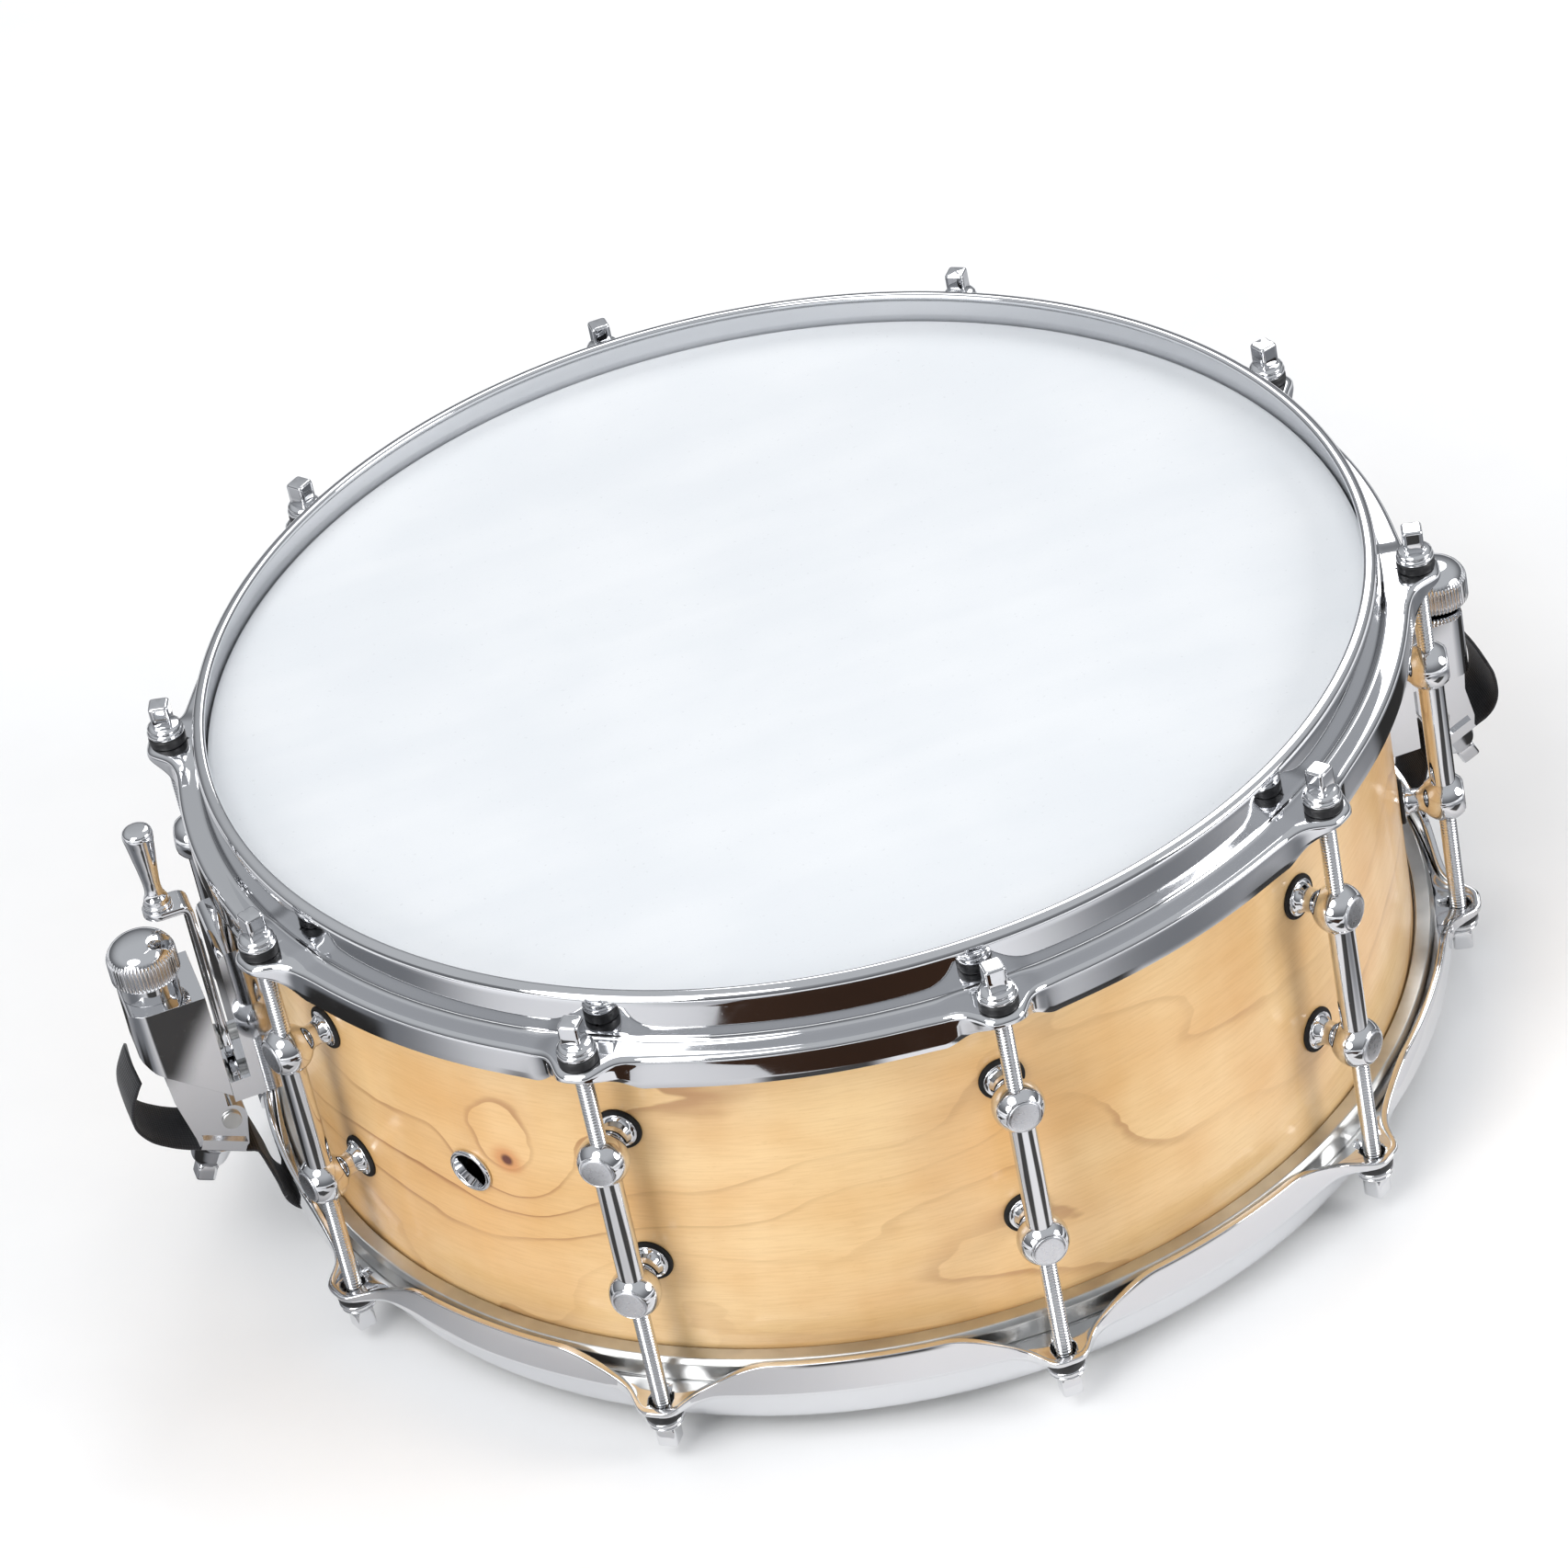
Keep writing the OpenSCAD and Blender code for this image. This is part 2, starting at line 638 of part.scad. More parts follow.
module strainer_knob() color(chrome) at_strainer() translate([knob_x, 0, knob_z])
    knurled_knob(knob_z - carriage_low - 2);

// A frame whose X runs outwards along the clamped strap and whose Z stands square to it
module clamp_frame(x, z) translate([x, 0, z]) rotate([0, -clamp_tilt, 0]) children();

// Points of the clamp's frame in the upright plane
function from_clamp(x, z, u, v) =
    [x + u * cos(clamp_tilt) - v * sin(clamp_tilt), z + u * sin(clamp_tilt) + v * cos(clamp_tilt)];

// Nut block, arm and upper jaw of a clamp, cut from one upright outline
module carriage(nut_x, nut_in, nut_out, nut_low, nut_top, nut_w, jaw_x, jaw_z) {
    jaw = strap_t / 2;
    difference() {
        union() {
            box([nut_in, -nut_w / 2, nut_low], [nut_out, nut_w / 2, nut_top]);
            swivel_at(jaw_x, jaw_z) along_y(5, -nut_w / 2, nut_w / 2);
            upright(nut_w) polygon([
                [nut_in, nut_low + 1], [nut_in, jaw_z + 14], [jaw_x - 9.9, jaw_z + 11],
                [jaw_x - 9.9, jaw_z + 8.5], from_clamp(jaw_x, jaw_z, -8, jaw + 2),
                from_clamp(jaw_x, jaw_z, -7, jaw), from_clamp(jaw_x, jaw_z, 7.2, jaw),
                from_clamp(jaw_x, jaw_z, 9, jaw + 3), [nut_out - 0.6, nut_low - 7],
                [nut_out, nut_low + 1]
            ]);
            clamp_frame(jaw_x, jaw_z) box([-7, -clamp_w / 2, jaw], [7.2, clamp_w / 2, jaw + 3.5]);
        }
        translate([nut_x, 0, nut_low - 9]) cylinder(r = screw_r + run_gap, h = nut_top - nut_low + 9 + eps);
        clamp_frame(jaw_x, jaw_z) translate([0, 0, jaw - eps]) cylinder(r = screw_r + run_gap, h = 8);
        swivel_at(jaw_x, jaw_z) along_y(2 + run_gap, -clamp_w, clamp_w);
    }
}

module swivel_at(jaw_x, jaw_z) translate([jaw_x - 5.2, 0, jaw_z + 10]) children();

// Cross screw with an oval head on its near side
module swivel_pin(jaw_x, jaw_z, arm_w) swivel_at(jaw_x, jaw_z) {
    along_y(2, -arm_w / 2 - 0.5, arm_w / 2);
    along_y(3.3, -arm_w / 2 - 1.2, -arm_w / 2 - 0.05);
    along_y(2.2, -arm_w / 2 - 1.7, -arm_w / 2 - 1);
    along_y(3, arm_w / 2 + 0.05, arm_w / 2 + 1.2);
    along_y(2, arm_w / 2 - 1, arm_w / 2 + 0.6);
}

// Round cup that squeezes the strap against the jaw
module cup() translate([0, 0, -strap_t / 2]) difference() {
    rotate_extrude() polygon([
        [0, 0], [cup_r, 0], [cup_r, -2], [cup_r - 0.5, -2.4], [cup_r - 0.6, -4],
        [cup_r - 1.7, -cup_h + 0.6], [cup_r - 2.3, -cup_h], [0, -cup_h]
    ]);
    translate([0, 0, -cup_h - eps]) cylinder(r = screw_r + run_gap, h = cup_h + 2 * eps);
}

module key_screw() {
    low = -strap_t / 2 - cup_h;
    translate([0, 0, low]) cylinder(r = screw_r, h = cup_h + strap_t + 5.5);
    mirror([0, 0, 1]) translate([0, 0, -low]) key_head(clamp_key_h);
}

module strainer_carriage() color(chrome) at_strainer() carriage(
    knob_x, block_in, block_out, carriage_low, carriage_top, block_w, clamp_x, clamp_z);

module strainer_swivel_pin() color(steel) at_strainer()
    swivel_pin(clamp_x, clamp_z, block_w);

module strainer_clamp() color(chrome) at_strainer() clamp_frame(clamp_x, clamp_z) cup();

module strainer_key_screw() color(chrome) at_strainer() clamp_frame(clamp_x, clamp_z) key_screw();

// The butt's base carries its housing in one casting, open below
module butt_base() color(chrome) difference() {
    union() {
        mounting_block(butt_z, butt_z + butt_h, butt_screw_z());
        box([base_out - 3, -housing_w / 2, butt_low], [butt_out - 6, housing_w / 2, butt_top]);
        intersection() {
            box([base_out, -housing_w / 2, butt_low], [butt_out, housing_w / 2, butt_top]);
            translate([butt_out - housing_out, 0, 0]) linear_extrude(total_h) housing_plan(0, 6);
        }
    }
    box([base_out + housing_wall, -block_w / 2 - slide_gap, butt_low - eps],
        [butt_out - housing_wall, block_w / 2 + slide_gap, butt_top - 4]);
    translate([butt_knob_x, 0, butt_top - 5]) cylinder(r = screw_r + run_gap, h = 6);
}

module butt_knob() color(chrome) translate([butt_knob_x, 0, butt_knob_z])
    knurled_knob(butt_knob_z - butt_low - 1);

module butt_carriage() color(chrome) carriage(
    butt_knob_x, base_out + housing_wall + slide_gap, butt_out - housing_wall - slide_gap,
    butt_low, butt_low + 13, block_w, butt_clamp_x, butt_clamp_z);

module butt_swivel_pin() color(steel) swivel_pin(butt_clamp_x, butt_clamp_z, block_w);

module butt_clamp() color(chrome) clamp_frame(butt_clamp_x, butt_clamp_z) cup();

module butt_key_screw() color(chrome) clamp_frame(butt_clamp_x, butt_clamp_z) key_screw();

module mounting_screw() {
    along_x(4.6, shell_inner_r - 4.4, shell_inner_r - 1.4);
    along_x(6.5, shell_inner_r - 1.6, shell_inner_r - 0.6);
    along_x(screw_r, shell_inner_r - 2, base_out - 5);
}

module mounting_screws() color(steel) {
    for (z = strainer_screw_z()) at_strainer() translate([0, 0, z]) mounting_screw();
    for (z = butt_screw_z()) translate([0, 0, z]) mounting_screw();
}

// ---- snares ----

module snare_wires() color(steel) for (k = [0:wire_count - 1])
    translate([0, (k - (wire_count - 1) / 2) * wire_pitch, wire_z])
        along_x(wire_r, -wire_len / 2, wire_len / 2);

module end_plate() difference() {
    box([plate_in, -plate_w / 2, plate_z], [plate_out, plate_w / 2, plate_z + plate_t]);
    for (y = [-strap_w / 2 - 6, strap_w / 2 + 2])
        box([plate_out - 8, y, plate_z - eps], [plate_out - 5, y + 4, plate_z + plate_t + eps]);
}

module strainer_end_plate() color(steel) at_strainer() end_plate();

module butt_end_plate() color(steel) end_plate();

// Middle line of a strap from its end plate, through the gate, up to the clamp and through it
function strap_route(x, z) = [
    [plate_out - 7, strap_end_z], [plate_out, strap_end_z], [shell_r - 3, strap_end_z + 0.9],
    [shell_r + 3, strap_end_z + 1.6], [shell_r + 9, strap_end_z + 3.8],
    [shell_r + 13, strap_end_z + 9], [shell_r + 14.6, strap_end_z + 18],
    from_clamp(x, z, -12.8, -1.5), from_clamp(x, z, -10.8, 0), from_clamp(x, z, -8.6, 0),
    for (u = [-4.4, 0, 4.4, 8.6, 11.6]) from_clamp(x, z, u, 0)
];

// The free tails, curling up outside the housings, from their clamps
strainer_tail = [[14.8, 7.4], [20, 11.8], [23.4, 18], [23, 25], [20.4, 31], [18.6, 34]];
butt_tail = [[13.2, 7.2], [14.9, 10.6], [15.4, 15], [14.8, 20.5], [13, 25.5]];

// A smooth curve through the route's points, four steps between each two
function smooth(p, i, t) = let (
    a = p[max(i - 1, 0)], b = p[i], c = p[i + 1], d = p[min(i + 2, len(p) - 1)]
) 0.5 * (2 * b + (c - a) * t + (2 * a - 5 * b + 4 * c - d) * t * t + (3 * b - a - 3 * c + d) * t * t * t);

function smooth_line(p) = concat(
    [for (i = [0:len(p) - 2], k = [0:3]) smooth(p, i, k / 4)], [p[len(p) - 1]]);

// Outline of a ribbon of even thickness along a line
function ribbon_edge(line, off) = [for (i = [0:len(line) - 1]) let (
    step = line[min(i + 1, len(line) - 1)] - line[max(i - 1, 0)], way = step / norm(step)
) line[i] + off * [-way[1], way[0]]];

module strap(x, z, tail) {
    line = smooth_line(concat(strap_route(x, z), [for (p = tail) [x, z] + p]));
    edge = ribbon_edge(line, -strap_t / 2);
    difference() {
        upright(strap_w) polygon(concat(
            ribbon_edge(line, strap_t / 2), [for (i = [len(edge) - 1:-1:0]) edge[i]]));
        clamp_frame(x, z) cylinder(r = screw_r + 0.5, h = 4 * strap_t, center = true);
    }
}

module strainer_strap() color(nylon) at_strainer() strap(clamp_x, clamp_z, strainer_tail);

module butt_strap() color(nylon) strap(butt_clamp_x, butt_clamp_z, butt_tail);

// ---- what is drawn ----

shell();
vent_grommet();
batter_head();
batter_flesh_hoop();
snare_head();
snare_flesh_hoop();
batter_hoop();
snare_hoop();
lug_tubes();
lug_posts();
lug_gaskets();
lug_screws();
batter_nylon_washers();
batter_steel_washers();
snare_nylon_washers();
snare_steel_washers();
batter_rod(1);  // batter_rod_1
batter_rod(2);  // batter_rod_2
batter_rod(3);  // batter_rod_3
batter_rod(4);  // batter_rod_4
batter_rod(5);  // batter_rod_5
batter_rod(6);  // batter_rod_6
batter_rod(7);  // batter_rod_7
batter_rod(8);  // batter_rod_8
batter_rod(9);  // batter_rod_9
batter_rod(10);  // batter_rod_10
snare_rod(1);  // snare_rod_1
snare_rod(2);  // snare_rod_2
snare_rod(3);  // snare_rod_3
snare_rod(4);  // snare_rod_4
snare_rod(5);  // snare_rod_5
snare_rod(6);  // snare_rod_6
snare_rod(7);  // snare_rod_7
snare_rod(8);  // snare_rod_8
snare_rod(9);  // snare_rod_9
snare_rod(10);  // snare_rod_10
strainer_base();
strainer_housing();
housing_screws();
strainer_pivot_pin();
strainer_lever();
strainer_grip();
strainer_slider();
strainer_knob();
strainer_carriage();
strainer_swivel_pin();
strainer_clamp();
strainer_key_screw();
butt_base();
butt_knob();
butt_carriage();
butt_swivel_pin();
butt_clamp();
butt_key_screw();
mounting_screws();
snare_wires();
strainer_end_plate();
butt_end_plate();
strainer_strap();
butt_strap();
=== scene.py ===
import math

import bmesh
import bpy
import numpy as np
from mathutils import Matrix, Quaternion, Vector


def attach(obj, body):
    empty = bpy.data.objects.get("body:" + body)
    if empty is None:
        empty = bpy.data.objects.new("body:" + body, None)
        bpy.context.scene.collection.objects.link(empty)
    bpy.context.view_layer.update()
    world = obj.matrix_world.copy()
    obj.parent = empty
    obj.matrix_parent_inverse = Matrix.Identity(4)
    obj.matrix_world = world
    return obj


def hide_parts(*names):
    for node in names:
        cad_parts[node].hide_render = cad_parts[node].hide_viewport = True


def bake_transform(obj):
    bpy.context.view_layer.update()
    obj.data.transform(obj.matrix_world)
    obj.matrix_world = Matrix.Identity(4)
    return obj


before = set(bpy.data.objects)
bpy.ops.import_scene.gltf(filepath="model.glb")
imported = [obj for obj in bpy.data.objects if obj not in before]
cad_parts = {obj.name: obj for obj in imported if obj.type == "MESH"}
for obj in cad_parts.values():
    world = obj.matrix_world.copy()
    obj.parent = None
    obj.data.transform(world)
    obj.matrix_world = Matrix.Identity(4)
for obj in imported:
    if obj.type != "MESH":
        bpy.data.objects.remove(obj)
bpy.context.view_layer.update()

# A 14 inch maple snare drum, in the order it goes together. Shapes are worked out in
# millimetres, with +Z up through the batter head and the strainer at -X; mesh_piece()
# turns them into metres.

# ---------------------------------------------------------------------------------------
# Shell: a plywood tube with maple faces, clear satin lacquer, and a bearing edge cut at
# both ends. Shallow snare beds are filed into the lower edge at the strainer and the butt.
# The air vent's hole goes right through it.
# ---------------------------------------------------------------------------------------


def mesh_piece(name, body, points, faces, uv=None):
    """A smooth shaded object from points in millimetres, on one of the drum's bodies."""
    mesh = bpy.data.meshes.new(name)
    mesh.from_pydata(points * 0.001, [], faces)
    mesh.polygons.foreach_set("use_smooth", np.ones(len(mesh.polygons), bool))
    if uv is not None:
        corner = np.zeros(len(mesh.loops), np.int32)
        mesh.loops.foreach_get("vertex_index", corner)
        mesh.uv_layers.new(name="UVMap").data.foreach_set("uv", uv[corner].ravel())
    mesh.update()
    piece = bpy.data.objects.new(name, mesh)
    bpy.context.scene.collection.objects.link(piece)
    if body:
        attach(piece, body)
    return piece


def skin(name, body, grids, ring=False, uv=None, even_shaded=True):
    """A closed surface over grids of points, each rows x columns x 3.

    Columns always run round into a ring. With ring, the last row joins the first one too;
    otherwise both end rows are closed by a fan about their own middle. A grid whose volume
    comes out negative is turned over, so that every face points outwards.
    """
    points, quads, fans, first = [], [], [], 0
    for grid in grids:
        rows, cols = grid.shape[:2]
        index = first + np.arange(rows * cols).reshape(rows, cols)
        here = [grid.reshape(-1, 3)]
        wide = np.vstack([index, index[:1]]) if ring else index
        wide = np.hstack([wide, wide[:, :1]])
        quad = np.stack([wide[:-1, :-1], wide[:-1, 1:], wide[1:, 1:], wide[1:, :-1]], -1)
        quad = quad.reshape(-1, 4)
        fan = np.zeros((0, 3), int)
        if not ring:
            here += [grid[:1].mean(1), grid[-1:].mean(1)]
            low, high = first + rows * cols, first + rows * cols + 1
            a, b = wide[0], wide[-1]
            fan = np.vstack([
                np.stack([np.full(cols, low), a[1:], a[:-1]], -1),
                np.stack([np.full(cols, high), b[:-1], b[1:]], -1),
            ])
        here = np.vstack(here)
        triangles = np.vstack([quad[:, :3], quad[:, [0, 2, 3]], fan]) - first
        p, q, r = (here[triangles[:, k]] - here.mean(0) for k in range(3))
        if (p * np.cross(q, r)).sum() < 0:
            quad, fan = quad[:, ::-1], fan[:, ::-1]
        points.append(here)
        quads.append(quad)
        fans.append(fan)
        first += len(here)
    faces = np.vstack(quads).tolist() + np.vstack(fans).tolist()
    piece = mesh_piece(name, body, np.vstack(points), faces, uv)
    if even_shaded:
        piece.modifiers.new("even shading", "WEIGHTED_NORMAL").weight = 80
    return piece


def eased(path, bend, steps=3, closed=False):
    """A path whose corners are eased: each is left `bend` early and joined again `bend`
    late, along the quadratic curve (1-t)^2 A + 2t(1-t) C + t^2 B."""
    path = np.array(path, float)
    around = np.vstack([path[-1:], path, path[:1]]) if closed else path
    out = [] if closed else [path[:1]]
    t = np.linspace(0, 1, steps + 1)[:, None]
    for before, corner, after in zip(around[:-2], around[1:-1], around[2:]):
        to_a, to_b = before - corner, after - corner
        la, lb = np.linalg.norm(to_a), np.linalg.norm(to_b)
        near = min(bend, 0.46 * la, 0.46 * lb)
        a, b = corner + to_a / la * near, corner + to_b / lb * near
        out.append((1 - t) ** 2 * a + 2 * t * (1 - t) * corner + t * t * b)
    if not closed:
        out.append(path[-1:])
    return np.vstack(out)


def turned(profile, sides=64):
    """Carries (radius, height) points round Z: x = r cos a, y = r sin a, z = height."""
    angle = np.linspace(0, 2 * np.pi, sides, endpoint=False)
    radius, height = np.array(profile, float).T
    return np.stack([
        np.outer(radius, np.cos(angle)), np.outer(radius, np.sin(angle)),
        np.repeat(height[:, None], sides, 1),
    ], -1)


def placed(grid, origin, up=(0, 0, 1), out=(1, 0, 0)):
    """Moves a grid so that its Z points along `up` and its X along `out`: each point
    becomes origin + x out + y (up x out) + z up."""
    up, out = np.array(up, float), np.array(out, float)
    axes = np.stack([out, np.cross(up, out), up])
    return grid @ axes + np.array(origin, float)


def spun(grid, degrees):
    """Turns a grid about the drum's axis: x' = x cos a - y sin a, y' = x sin a + y cos a."""
    a = math.radians(degrees)
    turn = [[math.cos(a), math.sin(a), 0], [-math.sin(a), math.cos(a), 0], [0, 0, 1]]
    return grid @ np.array(turn)


def cut_through(piece, tools):
    """Takes closed cutters out of a piece for good; the cutters are used up."""
    for tool in tools:
        made = piece.modifiers.new("cut", "BOOLEAN")
        made.operation, made.object, made.solver = "DIFFERENCE", tool, "EXACT"
    solid = bpy.data.meshes.new_from_object(
        piece.evaluated_get(bpy.context.evaluated_depsgraph_get()))
    piece.modifiers.clear()
    piece.data = solid
    for tool in tools:
        bpy.data.objects.remove(tool)


class Shade:
    """A value in a material's nodes; sums, products and powers of it add Math nodes."""

    def __init__(self, tree, socket=None):
        self.tree, self.socket = tree, socket

    def node(self, kind, inputs=(), output=0, stops=None, **settings):
        """Adds any node: its settings first, then the values or links of its sockets."""
        made = self.tree.nodes.new(kind)
        for key, value in settings.items():
            setattr(made, key, value)
        if stops:
            ramp = made.color_ramp
            while len(ramp.elements) < len(stops):
                ramp.elements.new(0.5)
            for element, (place, colour) in zip(ramp.elements, stops):
                element.position, element.color = place, (*colour, 1)
        for key, value in dict(inputs).items():
            if isinstance(value, Shade):
                self.tree.links.new(value.socket, made.inputs[key])
            else:
                made.inputs[key].default_value = value
        return Shade(self.tree, made.outputs[output])

    def maths(self, operation, *values):
        """A Math node on the given values."""
        return self.node("ShaderNodeMath", dict(enumerate(values)), operation=operation)

    def apply(self, operation):
        """A Math node on this value alone, such as its sine or its floor."""
        return self.maths(operation, self)

    def __add__(self, other): return self.maths("ADD", self, other)
    def __radd__(self, other): return self.maths("ADD", other, self)
    def __sub__(self, other): return self.maths("SUBTRACT", self, other)
    def __rsub__(self, other): return self.maths("SUBTRACT", other, self)
    def __mul__(self, other): return self.maths("MULTIPLY", self, other)
    def __rmul__(self, other): return self.maths("MULTIPLY", other, self)
    def __pow__(self, other): return self.maths("POWER", self, other)

    def step(self, low, high):
        """0 below low and 1 above high, eased between them; falls if low is above high."""
        return self.node("ShaderNodeMapRange", {0: self, 1: low, 2: high, 3: 0.0, 4: 1.0},
                         interpolation_type="SMOOTHSTEP")

    def mix(self, low, high):
        """The colour low where this value is 0 and high where it is 1."""
        return self.node("ShaderNodeMix", {0: self, 6: low, 7: high}, output=2, data_type="RGBA")


def coat(name, **surface):
    """A material with one Principled surface, its fixed values set on its own sockets.
    Gives back the material, a Shade to build on, and the surface node."""
    material = bpy.data.materials.new(name)
    material.use_nodes = True
    tree = material.node_tree
    tree.nodes.clear()
    shader = tree.nodes.new("ShaderNodeBsdfPrincipled")
    result = tree.nodes.new("ShaderNodeOutputMaterial")
    tree.links.new(shader.outputs[0], result.inputs[0])
    for key, value in surface.items():
        shader.inputs[key.replace("_", " ")].default_value = value
    return material, Shade(tree), shader


def feed(shade, shader, **inputs):
    """Links shades to a surface's sockets."""
    for key, value in inputs.items():
        shade.tree.links.new(value.socket, shader.inputs[key.replace("_", " ")])


def noise(shade, where, scale, detail=2.0, roughness=0.5, distortion=0.0):
    """Cloudy values from 0 to 1 at a place."""
    return shade.node("ShaderNodeTexNoise", {
        "Vector": where, "Scale": scale, "Detail": detail, "Roughness": roughness,
        "Distortion": distortion,
    })


def scaled(shade, where, by, shift=(0, 0, 0)):
    """A place, scaled along each axis and moved."""
    return shade.node("ShaderNodeMapping", {"Vector": where, "Scale": by, "Location": shift})


def bumped(shade, height, strength, distance):
    """A surface normal that follows a height in metres."""
    return shade.node("ShaderNodeBump", {
        "Height": height, "Strength": strength, "Distance": distance})


def rgb(red, green, blue):
    """A colour from screen values of 0 to 255, made linear."""
    parts = np.array([red, green, blue]) / 255
    line = np.where(parts < 0.04045, parts / 12.92, ((parts + 0.055) / 1.055) ** 2.4)
    return (*(float(v) for v in line), 1.0)


shell_r, shell_in = 177.0, 169.6
rim, drum_h = 10.3, 160.3
bed_depth, bed_half = 1.2, 50.0


def bed_rise(y):
    """How deep the snare bed is at y: bed_depth * (1 - (y / bed_half)^2)^1.5, else 0."""
    return bed_depth * np.clip(1 - (y / bed_half) ** 2, 0, 1) ** 1.5


edge = [
    (shell_in, 20), (shell_in, rim + 6.4), (shell_r - 1.4, rim), (shell_r - 0.7, rim - 0.02),
    (shell_r, rim + 0.9), (shell_r, 20),
]
low_end = eased(edge, 0.35, 2)
high_end = low_end * [1, -1] + [0, drum_h]
wall = turned(np.vstack([low_end, high_end[::-1]]), 480)
wall[..., 2] += np.where(wall[..., 2] < 17, bed_rise(wall[..., 1]), 0)
shell = skin("maple_shell", None, [wall], ring=True, even_shaded=False)

vent_angle, vent_z, vent_hole_r = 216.0, drum_h / 2, 6.45
vent_way = (math.cos(math.radians(vent_angle)), math.sin(math.radians(vent_angle)), 0)
bore = placed(turned([(vent_hole_r, 150), (vent_hole_r, 190)], 48), (0, 0, vent_z), vent_way,
              (0, 0, 1))
cut_through(shell, [skin("vent_drill", None, [bore], even_shaded=False)])
shell.modifiers.new("even shading", "WEIGHTED_NORMAL").weight = 80
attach(shell, "drum")
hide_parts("shell")

# Growth lines: the rings of the tree, met at a low slant, so they wander far round the
# shell and close into long loops. A small knot sits beside the vent.
maple, s, wood = coat("maple", Roughness=0.36, Coat_Weight=0.55, Coat_Roughness=0.16)
place = s.node("ShaderNodeTexCoord", output=3)
knot_angle, knot_z = math.radians(220.8), 0.0888
knot_at = (shell_r * 0.001 * math.cos(knot_angle), shell_r * 0.001 * math.sin(knot_angle),
           knot_z)
knot_far = s.node("ShaderNodeVectorMath", {0: place, 1: knot_at}, output=1,
                  operation="DISTANCE")
height = s.node("ShaderNodeSeparateXYZ", {0: place}, output=2)
wander = noise(s, scaled(s, place, (5.2, 5.2, 9.5), (3.1, 0.4, 1.7)), 1.0, 2.0, 0.45)
drift = noise(s, scaled(s, place, (17, 17, 42)), 1.0, 3.0, 0.55)
near_knot = knot_far.step(0.030, 0.0)
rings = height * 25 + wander * 8.0 + drift * 0.62 + near_knot * 1.2
phase = rings - rings.apply("FLOOR")
thread = phase.step(0.86, 0.975) * phase.step(1.0, 0.985)
shade_in = phase.step(0.45, 0.98)
strength = noise(s, scaled(s, place, (9, 9, 16), (7, 2, 5)), 1.0, 2.0).step(0.40, 0.66)
grain = noise(s, scaled(s, place, (90, 90, 1500)), 1.0, 3.0, 0.6)
fleck = noise(s, scaled(s, place, (420, 420, 2600), (1, 2, 3)), 1.0, 1.0).step(0.66, 0.78)
cloud = noise(s, scaled(s, place, (8, 8, 20), (2, 8, 1)), 1.0, 3.0, 0.6)
curl = noise(s, scaled(s, place, (55, 55, 14), (4, 4, 0)), 1.0, 2.0, 0.5)
tone = (cloud * 0.75 + curl * 0.25).step(0.30, 0.72)
pale = tone.mix(rgb(216, 168, 106), rgb(236, 203, 151))
line = (thread * (0.10 + strength * 0.55) + shade_in * strength * 0.16).mix(
    pale, rgb(150, 94, 48))
fine = (grain.step(0.35, 0.75) * 0.16 + fleck * 0.14).mix(line, rgb(176, 122, 68))
halo = (knot_far.step(0.0075, 0.002) * 0.75).mix(fine, rgb(196, 124, 62))
core_far = knot_far + drift * 0.0016
heart = core_far.step(0.0036, 0.0020).mix(halo, rgb(96, 42, 20))
feed(s, wood, Base_Color=heart,
     Normal=bumped(s, grain * 0.5 + curl * 0.5, 0.10, 0.0004),
     Roughness=0.31 + grain * 0.12)
shell.data.materials.append(maple)

# ---------------------------------------------------------------------------------------
# Air vent: a chromed brass grommet pressed through the shell, its round flange proud of
# the wood outside and its tail rolled over inside. Held by its own rolled tail.
# ---------------------------------------------------------------------------------------
chrome, s, metal = coat("chrome", Base_Color=(0.74, 0.745, 0.76, 1), Metallic=1.0)
place = s.node("ShaderNodeTexCoord", output=3)
smear = noise(s, scaled(s, place, (60, 60, 60)), 1.0, 3.0, 0.6)
wave = noise(s, scaled(s, place, (30, 30, 30), (2, 0, 5)), 1.0, 1.0)
dust = noise(s, scaled(s, place, (900, 900, 900)), 1.0, 2.0, 0.6).step(0.66, 0.80)
feed(s, metal, Roughness=0.035 + smear.step(0.45, 0.75) * 0.05 + dust * 0.12,
     Normal=bumped(s, wave, 0.12, 0.0006))

collar = eased([
    (5.0, 168.3), (5.0, 175.2), (5.9, 178.2), (6.4, 178.45), (7.1, 178.1), (7.35, 177.55),
    (7.3, 177.05), (6.4, 177.0), (6.4, 169.6), (7.9, 169.5), (7.95, 168.9), (7.2, 168.25),
    (5.6, 168.2),
], 0.3, 3, closed=True)
grommet = skin("vent_grommet_rolled", "drum", [placed(
    turned(collar, 72), (0, 0, vent_z), vent_way, (0, 0, 1))], ring=True)
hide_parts("vent_grommet")
grommet.data.materials.append(chrome)

# ---------------------------------------------------------------------------------------
# Heads: polyester film drawn over the bearing edge and crimped in an aluminium flesh hoop.
# The batter film is sprayed with a rough white coat; the snare side's is bare and hazy.
# ---------------------------------------------------------------------------------------
coated, s, film = coat("coated_film", Specular_IOR_Level=0.35)
place = s.node("ShaderNodeTexCoord", output=3)
spray = noise(s, scaled(s, place, (1500, 1500, 1500)), 1.0, 3.0, 0.65)
patch = noise(s, scaled(s, place, (14, 14, 14)), 1.0, 3.0, 0.55)
streak = noise(s, scaled(s, place, (7, 60, 7)), 1.0, 2.0, 0.5)
grit = noise(s, scaled(s, place, (700, 700, 700), (4, 1, 0)), 1.0, 1.0).step(0.70, 0.78)
base = (patch * 0.7 + streak * 0.3).step(0.35, 0.70).mix(
    rgb(224, 227, 230), rgb(231, 233, 235))
